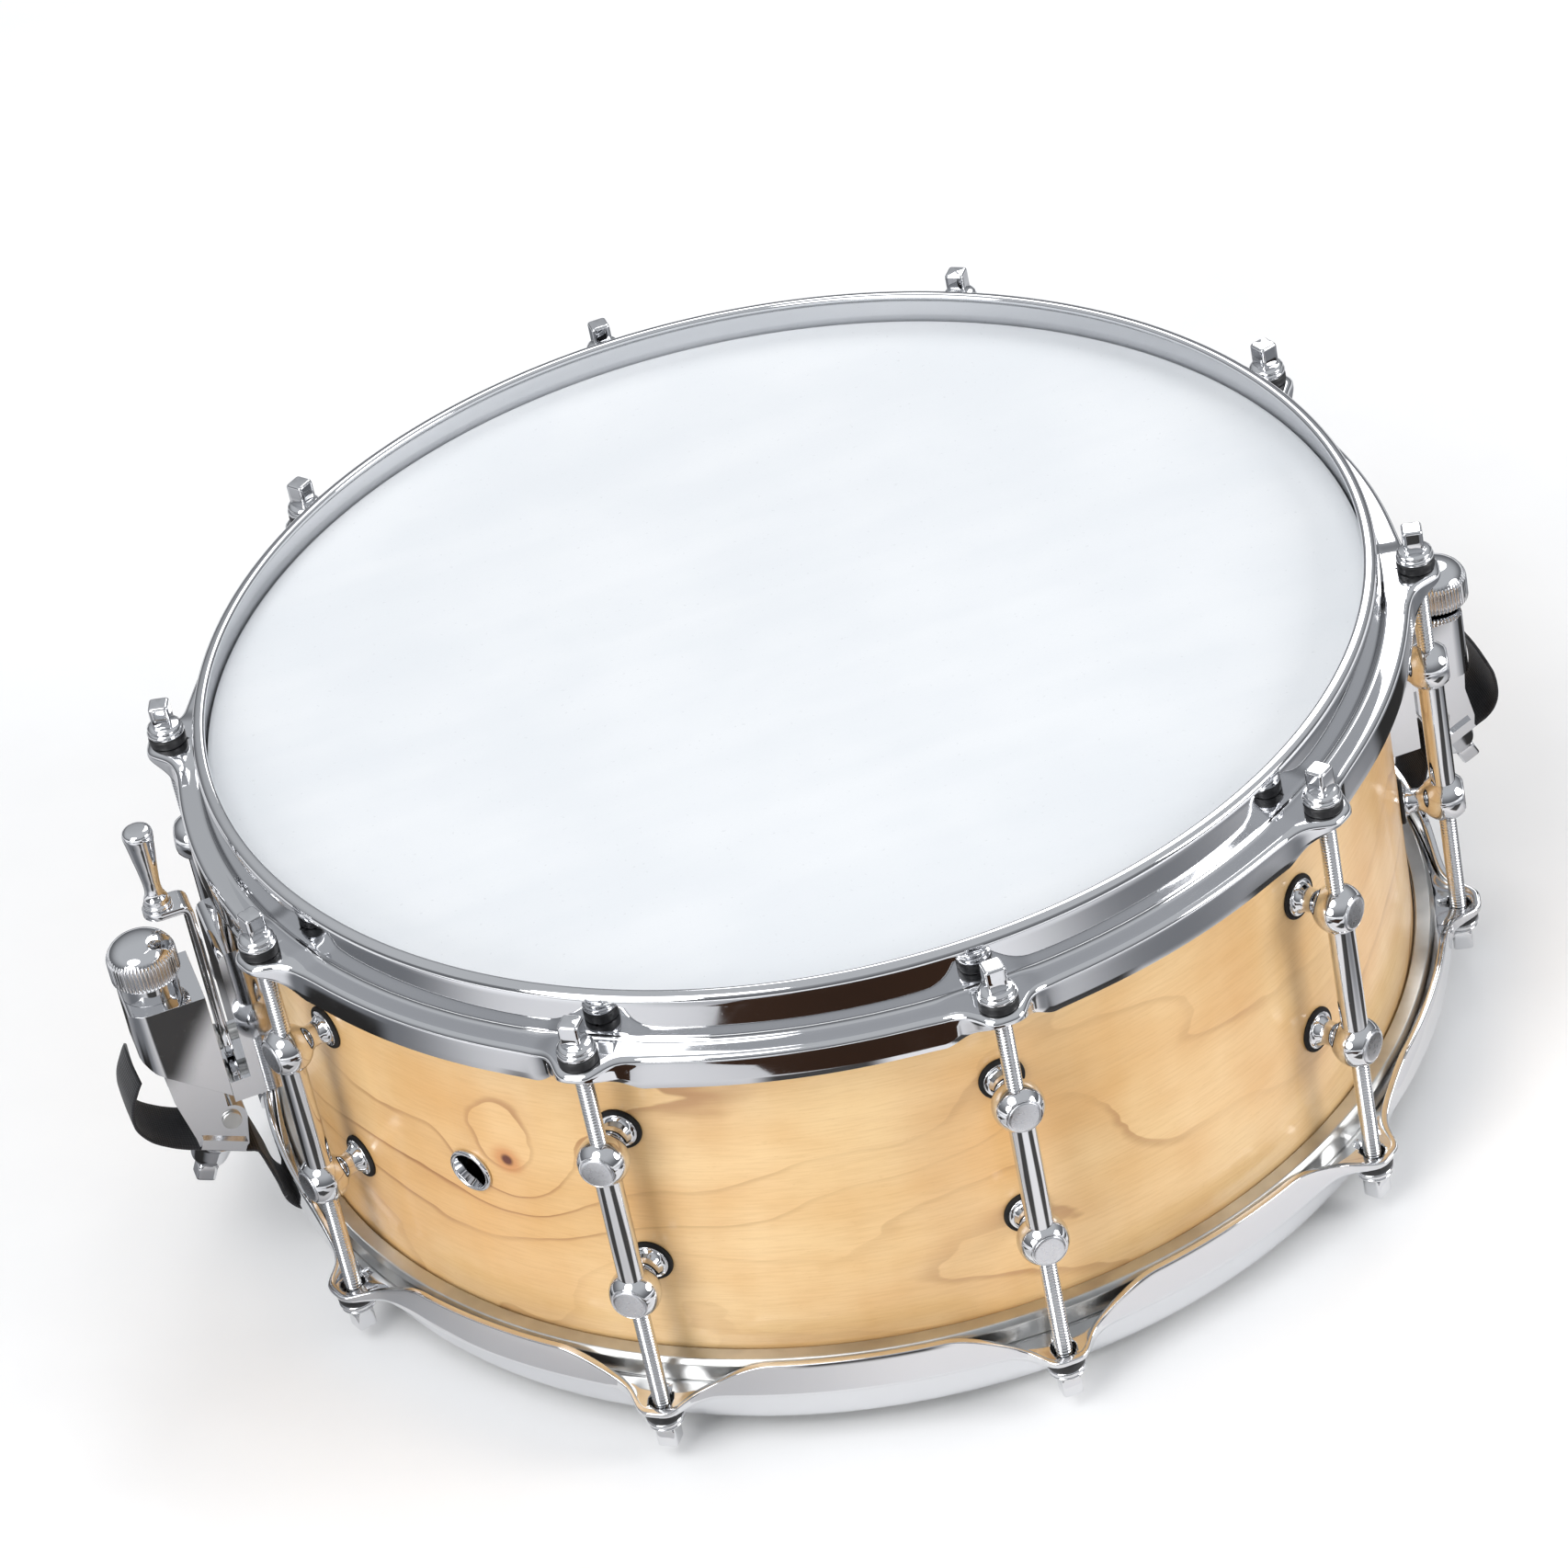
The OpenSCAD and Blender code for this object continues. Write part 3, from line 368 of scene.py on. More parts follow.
feed(s, film, Base_Color=(grit * 0.30 + spray * 0.10).mix(base, rgb(196, 198, 201)),
     Roughness=0.50 + spray * 0.22, Normal=bumped(s, spray, 0.35, 0.00006))

clear, s, film = coat("clear_film", Specular_IOR_Level=0.55)
place = s.node("ShaderNodeTexCoord", output=3)
haze = noise(s, scaled(s, place, (30, 30, 30)), 1.0, 4.0, 0.6)
rub = noise(s, scaled(s, place, (18, 420, 18)), 1.0, 2.0, 0.6)
tint = haze.step(0.35, 0.70).mix(rgb(214, 218, 216), rgb(229, 231, 228))
feed(s, film, Base_Color=(rub.step(0.55, 0.72) * 0.18).mix(tint, rgb(180, 186, 186)),
     Roughness=0.16 + haze * 0.14 + rub * 0.06, Alpha=0.86 + haze * 0.10)

steel, s, metal = coat("steel", Base_Color=(0.62, 0.62, 0.61, 1), Metallic=1.0)
place = s.node("ShaderNodeTexCoord", output=3)
rolled = noise(s, scaled(s, place, (80, 80, 2200)), 1.0, 2.0, 0.6)
stain = noise(s, scaled(s, place, (45, 45, 45)), 1.0, 3.0, 0.6)
feed(s, metal, Roughness=0.20 + rolled * 0.10 + stain * 0.12,
     Base_Color=stain.step(0.3, 0.75).mix(rgb(188, 188, 186), rgb(215, 215, 212)),
     Normal=bumped(s, rolled, 0.10, 0.00005))

film_t, film_low = 0.3, 24.5
head_line = [
    (0, rim - 0.03), (174.6, rim - 0.03), (176.1, rim + 0.05), (177.2, rim + 0.75),
    (177.5, rim + 1.8), (177.5, film_low),
]
flesh_section = [
    (177.8, 26.0), (177.8, 18.2), (178.2, 17.8), (183.0, 17.8), (183.6, 18.4), (183.6, 24.2),
    (182.9, 25.4), (182.4, 26.0),
]
for side, finish, in_beds in (("batter", coated, False), ("snare", clear, True)):
    # Both faces lie half the film's thickness off one line, which runs flat, over the
    # edge's corner and down the collar. The snare side's dips into the beds near its edge.
    line = eased(head_line, 0.9, 4)[1:]
    line = np.vstack([np.stack([np.linspace(4, 172, 28), np.full(28, rim - 0.03)], 1), line])
    slope = np.gradient(line, axis=0)
    slope /= np.linalg.norm(slope, axis=1)[:, None]
    off = np.stack([slope[:, 1], -slope[:, 0]], 1) * film_t * 0.5
    sheet = turned(np.vstack([line + off, (line - off)[::-1]]), 360)
    if in_beds:
        near = np.clip((np.hypot(sheet[..., 0], sheet[..., 1]) - 150) / 26, 0, 1) ** 2
        near *= np.clip((15 - sheet[..., 2]) / 5, 0, 1)
        sheet[..., 2] += near * bed_rise(sheet[..., 1])
    loop = turned(eased(flesh_section, 0.35, 2, closed=True), 360)
    if side == "batter":
        sheet[..., 2] = drum_h - sheet[..., 2]
        loop[..., 2] = drum_h - loop[..., 2]
    head = skin(side + "_film", "drum", [sheet], even_shaded=False)
    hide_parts(side + "_head")
    "coated_film" if side == "batter" else "clear_film"
    head.data.materials.append(finish)
    flesh = skin(side + "_flesh_ring", "drum", [loop], ring=True)
    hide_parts(side + "_flesh_hoop")
    flesh.data.materials.append(steel)

# ---------------------------------------------------------------------------------------
# Hoops: pressed steel, chromed. A lip rolled inwards, an upright collar, a shoulder over
# the flesh hoop and a flared skirt that is drawn out and arched up at each of the ten
# ears. The rods pull them down; the snare side's has a gate for each strap.
# ---------------------------------------------------------------------------------------
lug_first, lug_step, rod_circle, hoop_t = 18.0, 36.0, 191.0, 2.3


def smooth(value, low, high):
    """0 below low, 1 above high, 3t^2 - 2t^3 between."""
    t = np.clip((value - low) / (high - low), 0, 1)
    return t * t * (3 - 2 * t)


def pressed_hoop(full_by, depth, sides=1440):
    """A loop section carried round the axis, its heights below the rim, while its skirt
    changes with s, the distance along the arc from the nearest rod. With lobe =
    1 / (1 + (s / 8.2)^4), the skirt's radius is 188.1 + 9.9 lobe. Its edge drops from -17.6
    to -depth between s = 3 and s = full_by, and lies at least 2.25 below the shoulder, which
    arches up by 0.95 between s = 17 and s = 8.5."""
    angle = np.radians(np.arange(sides) * 360 / sides)
    turn = (np.degrees(angle) - lug_first + lug_step / 2) % lug_step - lug_step / 2
    s = np.abs(np.radians(turn) * rod_circle)
    lobe = 1 / (1 + (s / 8.2) ** 4)
    reach = 188.1 + 9.9 * lobe
    top = -15.5 + 0.95 * smooth(s, 17, 8.5)
    low = np.minimum(-17.6 + (17.6 - depth) * smooth(s, 3, full_by), top - 2.25)
    brow, back, under = reach - 1.9 - 1.2 * lobe, reach - hoop_t, top - hoop_t
    section = [tuple(point) for point in eased([
        (178.0, -17.6), (178.0, -3.3), (176.4, -2.2), (175.9, -1.2), (176.3, -0.35),
        (177.2, -0.02), (179.2, -0.35), (180.15, -1.5), (180.3, -3.2), (180.3, -13.6),
    ], 0.7, 2)]
    section += [(180.6, -14.9), (181.4, top)]
    section += [(181.9 + (brow - 181.9) * t, top) for t in np.linspace(0.1, 1, 4)]
    section += [(brow + (reach - brow) * np.sin(bend), top - 1.9 * (1 - np.cos(bend)))
                for bend in np.radians(90 * np.linspace(0.2, 1, 5))]
    section += [(reach, (top - 1.9) + (low + 0.35 - top + 1.9) * t)
                for t in np.linspace(0.25, 1, 4)]
    section += [(reach - 0.35, low), (back + 0.35, low), (back, low + 0.35)]
    section += [(back, np.minimum(low + 0.36, under) * (1 - t) + under * t)
                for t in np.linspace(0.3, 1, 3)]
    section += [(back + (183.9 - back) * t, under * (1 - t) + np.minimum(under, -17.8) * t)
                for t in np.linspace(0.3, 1, 3)]
    section.append((178.4, -17.8))
    r, h = (np.stack([point[k] + 0 * s for point in section]) for k in (0, 1))
    return np.stack([r * np.cos(angle), r * np.sin(angle), h], -1)


def set_down(grids, side):
    """Grids with heights below the rim, moved up to the batter rim, or mirrored in the
    ground plane for the snare side."""
    return [g + (0, 0, drum_h) if side == "batter" else g * (1, 1, -1) for g in grids]


def bar(low, high):
    """A box between two corners, as a closed grid of four columns."""
    (x0, y0, z0), (x1, y1, z1) = low, high
    ring = [(x0, y0), (x1, y0), (x1, y1), (x0, y1)]
    return np.array([[(x, y, z) for x, y in ring] for z in (z0, z1)], float)


rod_angles = lug_first + lug_step * np.arange(10)
for side in ("batter", "snare"):
    pressing = pressed_hoop(*((17, 26.3) if side == "batter" else (34, 28.2)))
    holes = [spun(placed(turned([(3.9, -22), (3.9, -12)], 32), (rod_circle, 0, 0)), a)
             for a in rod_angles]
    gates = [bar((x - 5, -20, -13.4), (x + 5, 20, -4)) for x in (-178, 178)]
    hoop = skin(side + "_flanged_hoop", None, set_down([pressing], side), ring=True,
                even_shaded=False)
    tools = [skin("ear_holes", None, set_down(holes, side), even_shaded=False)]
    if side == "snare":
        tools.append(skin("strap_gates", None, set_down(gates, side), even_shaded=False))
    cut_through(hoop, tools)
    hoop.modifiers.new("even shading", "WEIGHTED_NORMAL").weight = 60
    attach(hoop, "drum")
    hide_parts(side + "_hoop")
    hoop.data.materials.append(chrome)

# ---------------------------------------------------------------------------------------
# Washers: under every rod a thick black nylon cup washer on the ear and a rounded steel
# one over it. Each rod's pull holds its own pair; all four sets stay with the drum.
# ---------------------------------------------------------------------------------------
nylon, s, plastic = coat("nylon", Base_Color=(0.012, 0.012, 0.013, 1))
place = s.node("ShaderNodeTexCoord", output=3)
scuff = noise(s, scaled(s, place, (380, 380, 380)), 1.0, 3.0, 0.6)
feed(s, plastic, Base_Color=scuff.step(0.45, 0.85).mix(rgb(22, 22, 24), rgb(44, 44, 46)),
     Roughness=0.34 + scuff * 0.22, Normal=bumped(s, scuff, 0.12, 0.00008))

nylon_ring = eased([(3.3, -14.47), (5.7, -14.47), (5.8, -13.9), (5.8, -12.2), (5.5, -11.52),
                    (3.3, -11.52)], 0.45, 3, closed=True)
steel_ring = eased([(3.3, -11.48), (5.5, -11.48), (5.8, -10.9), (5.75, -10.2), (5.1, -9.53),
                    (3.3, -9.53)], 0.6, 3, closed=True)
for side in ("batter", "snare"):
    for kind, section, finish in (("nylon", nylon_ring, nylon), ("steel", steel_ring, chrome)):
        loop = set_down([placed(turned(section, 40), (rod_circle, 0, 0))], side)[0]
        loops = [spun(loop, a) for a in rod_angles]
        washers = skin(f"{side}_{kind}_rings", "drum", loops, ring=True)
        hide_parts(f"{side}_{kind}_washers")
        washers.data.materials.append(finish)

# ---------------------------------------------------------------------------------------
# Tension rods: twenty chromed steel screws with square key heads and domed flanges. Each
# passes its washers and its hoop's ear and screws into the end of a lug's tube.
# ---------------------------------------------------------------------------------------


def square_bar(half, soft, z0, z1, top_ease, sides=48):
    """An upright bar whose plan is the superellipse |x|^n + |y|^n = half^n, n = soft, and
    whose top corner is rounded by a quarter ellipse, top_ease high and 0.8 as wide."""
    a = np.linspace(0, 2 * np.pi, sides, endpoint=False)
    plan = half / (np.abs(np.cos(a)) ** soft + np.abs(np.sin(a)) ** soft) ** (1 / soft)
    rows = [(1.0, z0), (1.0, (z0 + z1) / 2), (1.0, z1 - top_ease)]
    rows += [(1 - top_ease * 0.8 / half * (1 - math.cos(t)), z1 - top_ease * (1 - math.sin(t)))
             for t in np.radians([20, 40, 60, 78, 90])]
    return np.stack([
        np.stack([plan * k * np.cos(a), plan * k * np.sin(a), np.full(sides, z)], -1)
        for k, z in rows])


def threaded(radius, depth, pitch, z0, z1, rows_per_turn=6, sides=20):
    """A screw: r = radius - depth * wave(z / pitch - a / 2 pi), where wave runs from 1 down
    to 0 and back in each turn, and the thread fades to a plain rod at both ends."""
    rows = int((z1 - z0) / pitch * rows_per_turn) + 1
    z = np.linspace(z0, z1, rows)[:, None]
    a = np.linspace(0, 2 * np.pi, sides, endpoint=False)[None]
    wave = np.abs((z / pitch - a / (2 * np.pi)) % 1 - 0.5) * 2
    fade = smooth(z, z0, z0 + 2 * pitch) * smooth(z, z1 + 0.01, z1 - pitch)
    r = radius - depth * wave * fade
    return np.stack([r * np.cos(a), r * np.sin(a), z + 0 * a], -1)


shank = eased([(2.7, -13.0), (2.7, -9.46), (5.1, -9.46), (5.4, -9.1), (5.3, -8.7), (4.6, -8.1),
               (3.6, -7.85), (3.1, -7.7), (2.0, -7.6)], 0.25, 2)
rod_parts = [
    square_bar(3.1, 9, -8.0, -0.42, 0.9), turned(shank, 40),
    threaded(2.69, 0.58, 1.06, -61.4, -12.9),
]
for side in ("batter", "snare"):
    standing = set_down([placed(g, (rod_circle, 0, 0)) for g in rod_parts], side)
    for number, a in enumerate(rod_angles):
        parts = [spun(g, a) for g in standing]
        name = f"{side}_rod_{number + 1}"
        rod = skin(name + "_screw", name, parts)
        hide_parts(name)
        rod.data.materials.append(chrome)

# ---------------------------------------------------------------------------------------
# Lugs: ten chromed tubes held between ball posts. Each post is a machined ball with a
# satin button, a thin neck, a stepped foot and a black gasket against the wood, drawn in
# by a screw and washer from inside the shell.
# ---------------------------------------------------------------------------------------
rubber, s, soft = coat("rubber", Specular_IOR_Level=0.3)
place = s.node("ShaderNodeTexCoord", output=3)
bloom = noise(s, scaled(s, place, (240, 240, 240)), 1.0, 3.0, 0.6)
feed(s, soft, Base_Color=bloom.step(0.4, 0.8).mix(rgb(20, 20, 21), rgb(38, 37, 37)),
     Roughness=0.62 + bloom * 0.2, Normal=bumped(s, bloom, 0.2, 0.0001))

ball = [(7.7 * math.sin(t), -7.7 * math.cos(t)) for t in np.radians(np.arange(14, 141, 7))]
post = np.vstack([
    [(3.0, -13.9), (5.65, -13.95), (5.8, -13.7), (5.8, -12.7), (5.5, -12.45), (4.55, -12.4),
     (4.4, -11.4), (3.75, -10.6), (3.6, -9.4), (3.6, -7.6)],
    [(r, h) for r, h in ball if h > -6.7 and h < 4.9],
    [(5.7, 5.15), (5.45, 5.5), (5.25, 5.55), (5.2, 5.3), (0.8, 5.3)],
])
button = eased([(0.8, 5.2), (4.95, 5.2), (4.95, 5.75), (4.3, 6.02), (2.6, 6.08), (0.8, 6.1)],
               0.25, 3)
gasket = eased([(4.2, -15.0), (7.0, -15.0), (7.0, -14.2), (6.6, -13.65), (4.2, -13.65)], 0.4, 3,
               closed=True)
tube_line = eased([(2.75, -19.8), (4.0, -19.8), (4.0, 19.8), (2.75, 19.8)], 0.3, 2, closed=True)
lug_heights, gasket_shift = (58.95, 108.95), 0.95


def facing_out(line, sides, out, z, degrees):
    """A piece turned about an axis that points out of the shell at height z, its zero
    `out` from the drum's axis."""
    return spun(placed(turned(line, sides), (out, 0, z), (1, 0, 0), (0, 0, 1)), degrees)


at_lugs = [(a, z) for a in rod_angles for z in lug_heights]
posts = [facing_out(post, 56, rod_circle, z, a) for a, z in at_lugs]
buttons = [facing_out(button, 40, rod_circle, z, a) for a, z in at_lugs]
gaskets = [facing_out(gasket, 48, rod_circle + gasket_shift, z, a) for a, z in at_lugs]
tube = placed(turned(tube_line, 40), (rod_circle, 0, sum(lug_heights) / 2))
tubes = [spun(tube, a) for a in rod_angles]
satin, s, metal = coat("satin_chrome", Metallic=1.0)
place = s.node("ShaderNodeTexCoord", output=3)
lathe = noise(s, scaled(s, place, (900, 900, 900)), 1.0, 2.0, 0.6)
feed(s, metal, Roughness=0.22 + lathe * 0.14,
     Base_Color=lathe.mix(rgb(205, 206, 209), rgb(226, 227, 230)),
     Normal=bumped(s, lathe, 0.10, 0.00004))
for name, stand_in, loops, ring, finish, kind in (
    ("lug_ball_posts", "lug_posts", posts, False, chrome, "chrome"),
    ("lug_satin_buttons", "lug_posts", buttons, False, satin, "chrome"),
    ("lug_gasket_rings", "lug_gaskets", gaskets, True, rubber, "rubber"),
    ("lug_bright_tubes", "lug_tubes", tubes, True, chrome, "chrome"),
):
    piece = skin(name, "drum", loops, ring=ring)
    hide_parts(stand_in)
    piece.data.materials.append(finish)

# ---------------------------------------------------------------------------------------
# Screws inside the shell: zinc plated pan heads with washers, two behind every lug, two
# behind the strainer's base and two behind the butt's. They thread into those parts.
# ---------------------------------------------------------------------------------------


def pan_screw(head_x):
    """The line of a pan head and its washer, as (radius, place along the screw's axis),
    from the head's crown at head_x outwards."""
    return np.array([
        (0.9, head_x), (2.6, head_x + 0.1), (3.8, head_x + 0.7), (4.3, head_x + 1.9),
        (4.35, head_x + 2.75), (6.3, head_x + 2.8), (6.35, head_x + 3.75), (2.3, head_x + 3.8),
        (2.3, 176.5), (1.2, 176.9)])


inner = skin("lug_pan_screws", "drum", [
    facing_out(pan_screw(165.2), 32, 0, z, a) for a, z in at_lugs])
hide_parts("lug_screws")
mounts = skin("base_pan_screws", "drum", [
    facing_out(pan_screw(165.3) * (1.06, 1), 32, 0, z, a)
    for a, z in ((180, 89.5), (180, 108.5), (0, 54), (0, 82))])
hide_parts("mounting_screws")
for piece in (inner, mounts):
    piece.data.materials.append(steel)

# ---------------------------------------------------------------------------------------
# Strainer: a cast base screwed to the shell, with a hollow chromed housing screwed to its
# shelf. The lever turns on a pin through the base, in the slot between the two.
# ---------------------------------------------------------------------------------------


def machined(node, name, body, finish, width):
    """A merged copy of a machined part's faces, with every sharp edge eased by width."""
    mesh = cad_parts[node].data.copy()
    mesh.name = name
    mesh.materials.clear()
    work = bmesh.new()
    work.from_mesh(mesh)
    bmesh.ops.remove_doubles(work, verts=work.verts, dist=2e-6)
    bmesh.ops.dissolve_limit(work, angle_limit=math.radians(0.6), verts=work.verts,
                             edges=work.edges)
    work.to_mesh(mesh)
    work.free()
    for stale in ("custom_normal", "sharp_face", "sharp_edge"):
        if stale in mesh.attributes:
            mesh.attributes.remove(mesh.attributes[stale])
    mesh.polygons.foreach_set("use_smooth", np.ones(len(mesh.polygons), bool))
    piece = bpy.data.objects.new(name, mesh)
    bpy.context.scene.collection.objects.link(piece)
    eased_edge = piece.modifiers.new("eased edges", "BEVEL")
    eased_edge.width, eased_edge.segments = width * 0.001, 2
    eased_edge.limit_method, eased_edge.angle_limit = "ANGLE", math.radians(32)
    eased_edge.use_clamp_overlap = True
    piece.modifiers.new("even shading", "WEIGHTED_NORMAL").weight = 90
    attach(piece, body)
    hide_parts(node)
    mesh.materials.append(finish)
    return piece


def swept(line, half_w, half_t, soft, across=6):
    """A strip carried along points (x, z) of the upright plane. Its section is a rounded
    rectangle: half_w along Y, half_t square to the line, corners quarter circles of `soft`."""
    line = np.array(line, float)
    way = np.gradient(line, axis=0)
    way /= np.linalg.norm(way, axis=1)[:, None]
    w = np.broadcast_to(half_w, len(line))[:, None]
    e = np.minimum(min(soft, half_t * 0.95), w * 0.45)
    bow = np.radians([30, 60])
    flat = np.linspace(-1, 1, across)
    y = np.hstack([
        flat * (w - e), w - e + e * np.sin(bow), w, w - e + e * np.sin(bow[::-1]),
        -flat * (w - e), e - w - e * np.sin(bow), -w, e - w - e * np.sin(bow[::-1])])
    rise = half_t - e + e * np.cos(bow)
    n = np.hstack([
        half_t + 0 * flat * w, rise, 0 * w, -rise[:, ::-1], -half_t + 0 * flat * w,
        -rise, 0 * w, rise[:, ::-1]])
    return np.stack([line[:, :1] - way[:, 1:] * n, y, line[:, 1:] + way[:, :1] * n], -1)


machined("strainer_base", "strainer_cast_base", "drum", chrome, 0.7)
machined("strainer_housing", "strainer_shell_housing", "drum", chrome, 0.55)
machined("housing_screws", "housing_flat_screws", "drum", steel, 0.15)
machined("strainer_pivot_pin", "lever_pivot", "drum", steel, 0.4)

# The lever's strip runs up from its round lower end, bends out and ends round under the
# grip: its half width is that of a disc of 6 below, 5 along it, and a disc of 5 at the tip.
half_turn = np.array([-1, -1, 1.0])
lever_x, lever_top, pivot_z, grip_x = 194.25, 129.2, 77, 202.45
bend = eased([(lever_x, 71.0), (lever_x, lever_top), (207.4, lever_top)], 2.6, 6)[1:-1]
low_round = 71.05 + 5.95 * (1 - np.cos(np.radians(np.arange(0, 90, 11))))
tip_round = grip_x + 4.95 * np.sin(np.radians(np.arange(0, 91, 10)))
path = np.vstack([
    [(lever_x, z) for z in (*low_round, *np.linspace(pivot_z, 126, 20))],
    bend,
    [(x, lever_top) for x in (199, *tip_round)],
])
low_disc = np.sqrt(np.clip(36 - (path[:, 1] - pivot_z) ** 2, 0.01, 36))
tip_disc = np.sqrt(np.clip(25 - np.clip(path[:, 0] - grip_x, 0, 5) ** 2, 0.04, 25))
width = np.where(path[:, 0] > 202, tip_disc, np.where(path[:, 1] < 80.3, low_disc, 5.0))
strip = swept(path, width, 1.3, 0.5)
lever = skin("lever_bent_strip", "throw_lever", [strip * half_turn])
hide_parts("strainer_lever")

bell = eased([
    (0.8, 0.0), (4.4, 0.0), (4.4, 1.3), (3.75, 1.6), (3.75, 3.3), (3.2, 4.2), (2.75, 5.4),
    (2.6, 7.2), (2.68, 9.6), (3.15, 14.2), (3.75, 19), (4.3, 23.6), (4.75, 26.6), (4.4, 28.2),
    (3.2, 28.95), (0.8, 29.0)], 0.55, 3)
grip_at = (grip_x, 0, 130.5)
stud = turned([(0.6, -4.0), (2.6, -4.0), (2.95, -3.7), (2.95, -2.7), (0.6, -2.7)], 32)
grip = skin("lever_bell_grip", "throw_lever", [
    placed(turned(bell, 56), grip_at) * half_turn, placed(stud, grip_at) * half_turn])
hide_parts("strainer_grip")
for piece in (lever, grip):
    piece.data.materials.append(chrome)

# ---------------------------------------------------------------------------------------
# Slider and adjusting knobs: the boss rises through the housing's top and carries the
# knurled knob; its screw lifts the carriage. The butt's knob turns on its casting.
# ---------------------------------------------------------------------------------------
machined("strainer_slider", "slider_boss", "throw_slider", chrome, 0.35)


def fluted_knob(low):
    """A knob turned about Z from its underside at low, its lower wall cut by 54 grooves: at
    angle a the radius falls by share * 0.62 * |cos 27a|^4, where share runs from 0 at one
    chamfer to 1 between them and back to 0, and the top is a low dome."""
    a = np.linspace(0, 2 * np.pi, 432, endpoint=False)
    groove = 0.62 * np.abs(np.cos(27 * a)) ** 4
    rows = [(2.0, 0, 0), (8.6, 0.02, 0), (9.2, 0.1, 0.2), (10.15, 0.75, 0.9), (10.65, 1.3, 1),
            (10.68, 3.5, 1), (10.68, 6.0, 1), (10.68, 8.2, 1),
            (10.5, 9.0, 0.8), (10.15, 9.5, 0.25), (9.85, 10.2, 0), (9.3, 11.0, 0),
            (8.6, 11.7, 0), (7.6, 12.4, 0), (6.2, 13.05, 0), (4.4, 13.5, 0), (2.4, 13.75, 0),
            (0.7, 13.8, 0)]
    r, height, share = np.array(rows).T[:, :, None]
    r = r - share * groove
    return np.stack([r * np.cos(a), r * np.sin(a), low + height + 0 * a], -1)


for name, x, z, z_screw, flip in (
    ("strainer_knob", 211.5, 107.4, 75.5, half_turn), ("butt_knob", 206.9, 87.6, 67.0, 1.0)):
    parts = [fluted_knob(z), threaded(1.95, 0.28, 0.8, z_screw, z + 0.5, 4, 12)]
    knob = skin(name + "_knurled", name, [(g + (x, 0, 0)) * flip for g in parts])
    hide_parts(name)
    knob.data.materials.append(chrome)

# ---------------------------------------------------------------------------------------
# Butt: one chromed casting screwed to the shell, open below, with the fixed end's carriage
# inside. Both carriages end in a fork with a cross screw and a jaw for the strap.
# ---------------------------------------------------------------------------------------
machined("butt_base", "butt_casting", "drum", chrome, 0.6)
for end in ("strainer", "butt"):
    machined(end + "_carriage", end + "_fork_carriage", end + "_carriage", chrome,
             0.45)
    machined(end + "_swivel_pin", end + "_cross_screw", end + "_carriage", steel, 0.3)

# ---------------------------------------------------------------------------------------
# Clamps: a tapered round cup under each strap, squeezed against the jaw by a screw with a
# square key head that points down and inwards.
# ---------------------------------------------------------------------------------------
tilt = math.radians(24.6)
clamp_out = np.array([math.cos(tilt), 0, math.sin(tilt)])
clamp_up = np.array([-math.sin(tilt), 0, math.cos(tilt)])
clamps = {"strainer": ((205.0, 0, 43.5), half_turn), "butt": ((204.9, 0, 40.5), 1.0)}
cup_line = eased([
    (0.8, -0.52), (7.3, -0.52), (7.3, -2.4), (6.75, -2.75), (6.75, -3.3), (6.95, -3.7),
    (6.6, -4.6), (5.75, -9.0), (5.1, -10.45), (0.8, -10.5)], 0.4, 3)
key_flange = eased([(0.6, 10.2), (4.3, 10.2), (4.4, 10.6), (4.4, 11.2), (3.3, 11.4),
                    (0.6, 11.4)], 0.2, 2)
for end, (at, flip) in clamps.items():
    cup = skin(end + "_clamp_cup", end + "_clamp",
               [placed(turned(cup_line, 64), at, clamp_up, clamp_out) * flip])
    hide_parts(end + "_clamp")
    screw = skin(end + "_square_key", end + "_key_screw", [
        placed(g, at, -clamp_up, clamp_out) * flip for g in (
            square_bar(3.1, 9, 10.3, 17.25, 0.9), turned(key_flange, 40),
            threaded(1.95, 0.28, 0.8, -4.9, 10.4, 5, 14))])
    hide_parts(end + "_key_screw")
    for piece in (cup, screw):
        piece.data.materials.append(chrome)

# ---------------------------------------------------------------------------------------
# Snares: twenty coiled steel wires soldered into two slotted end plates, lying against
# the snare side film. The straps pull on the plates.
# ---------------------------------------------------------------------------------------
# Each wire is a helix: its centre is coil_r cos w and coil_r sin w off the wire's axis, six
# steps to a turn, and its section is a diamond of four points, strand from the centre.
wire_step, wire_long, wire_z = 4.4, 312, 8.4
coil_turns, coil_r, strand = 236, 1.08, 0.31
turn_at = np.arange(coil_turns * 6 + 1) / 6
along = (turn_at / coil_turns - 0.5) * wire_long
swing = 2 * np.pi * turn_at
centre = np.stack([along, coil_r * np.cos(swing), coil_r * np.sin(swing)], -1)
outward = np.stack([0 * swing, np.cos(swing), np.sin(swing)], -1)
around = np.pi / 2 * np.arange(4)
coil = (centre[:, None] + strand * np.cos(around)[:, None] * outward[:, None]
        + strand * np.sin(around)[:, None] * np.array([1.0, 0, 0]))
for half in range(2):
    coils = [coil + (0, (k + half * 10 - 9.5) * wire_step, wire_z) for k in range(10)]
    wires = skin(f"snare_coils_{half + 1}", "snares", coils, even_shaded=False)
    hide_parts("snare_wires")
    wires.data.materials.append(steel)
for end in ("strainer", "butt"):
    machined(end + "_end_plate", end + "_slotted_plate", "snares", steel, 0.2)

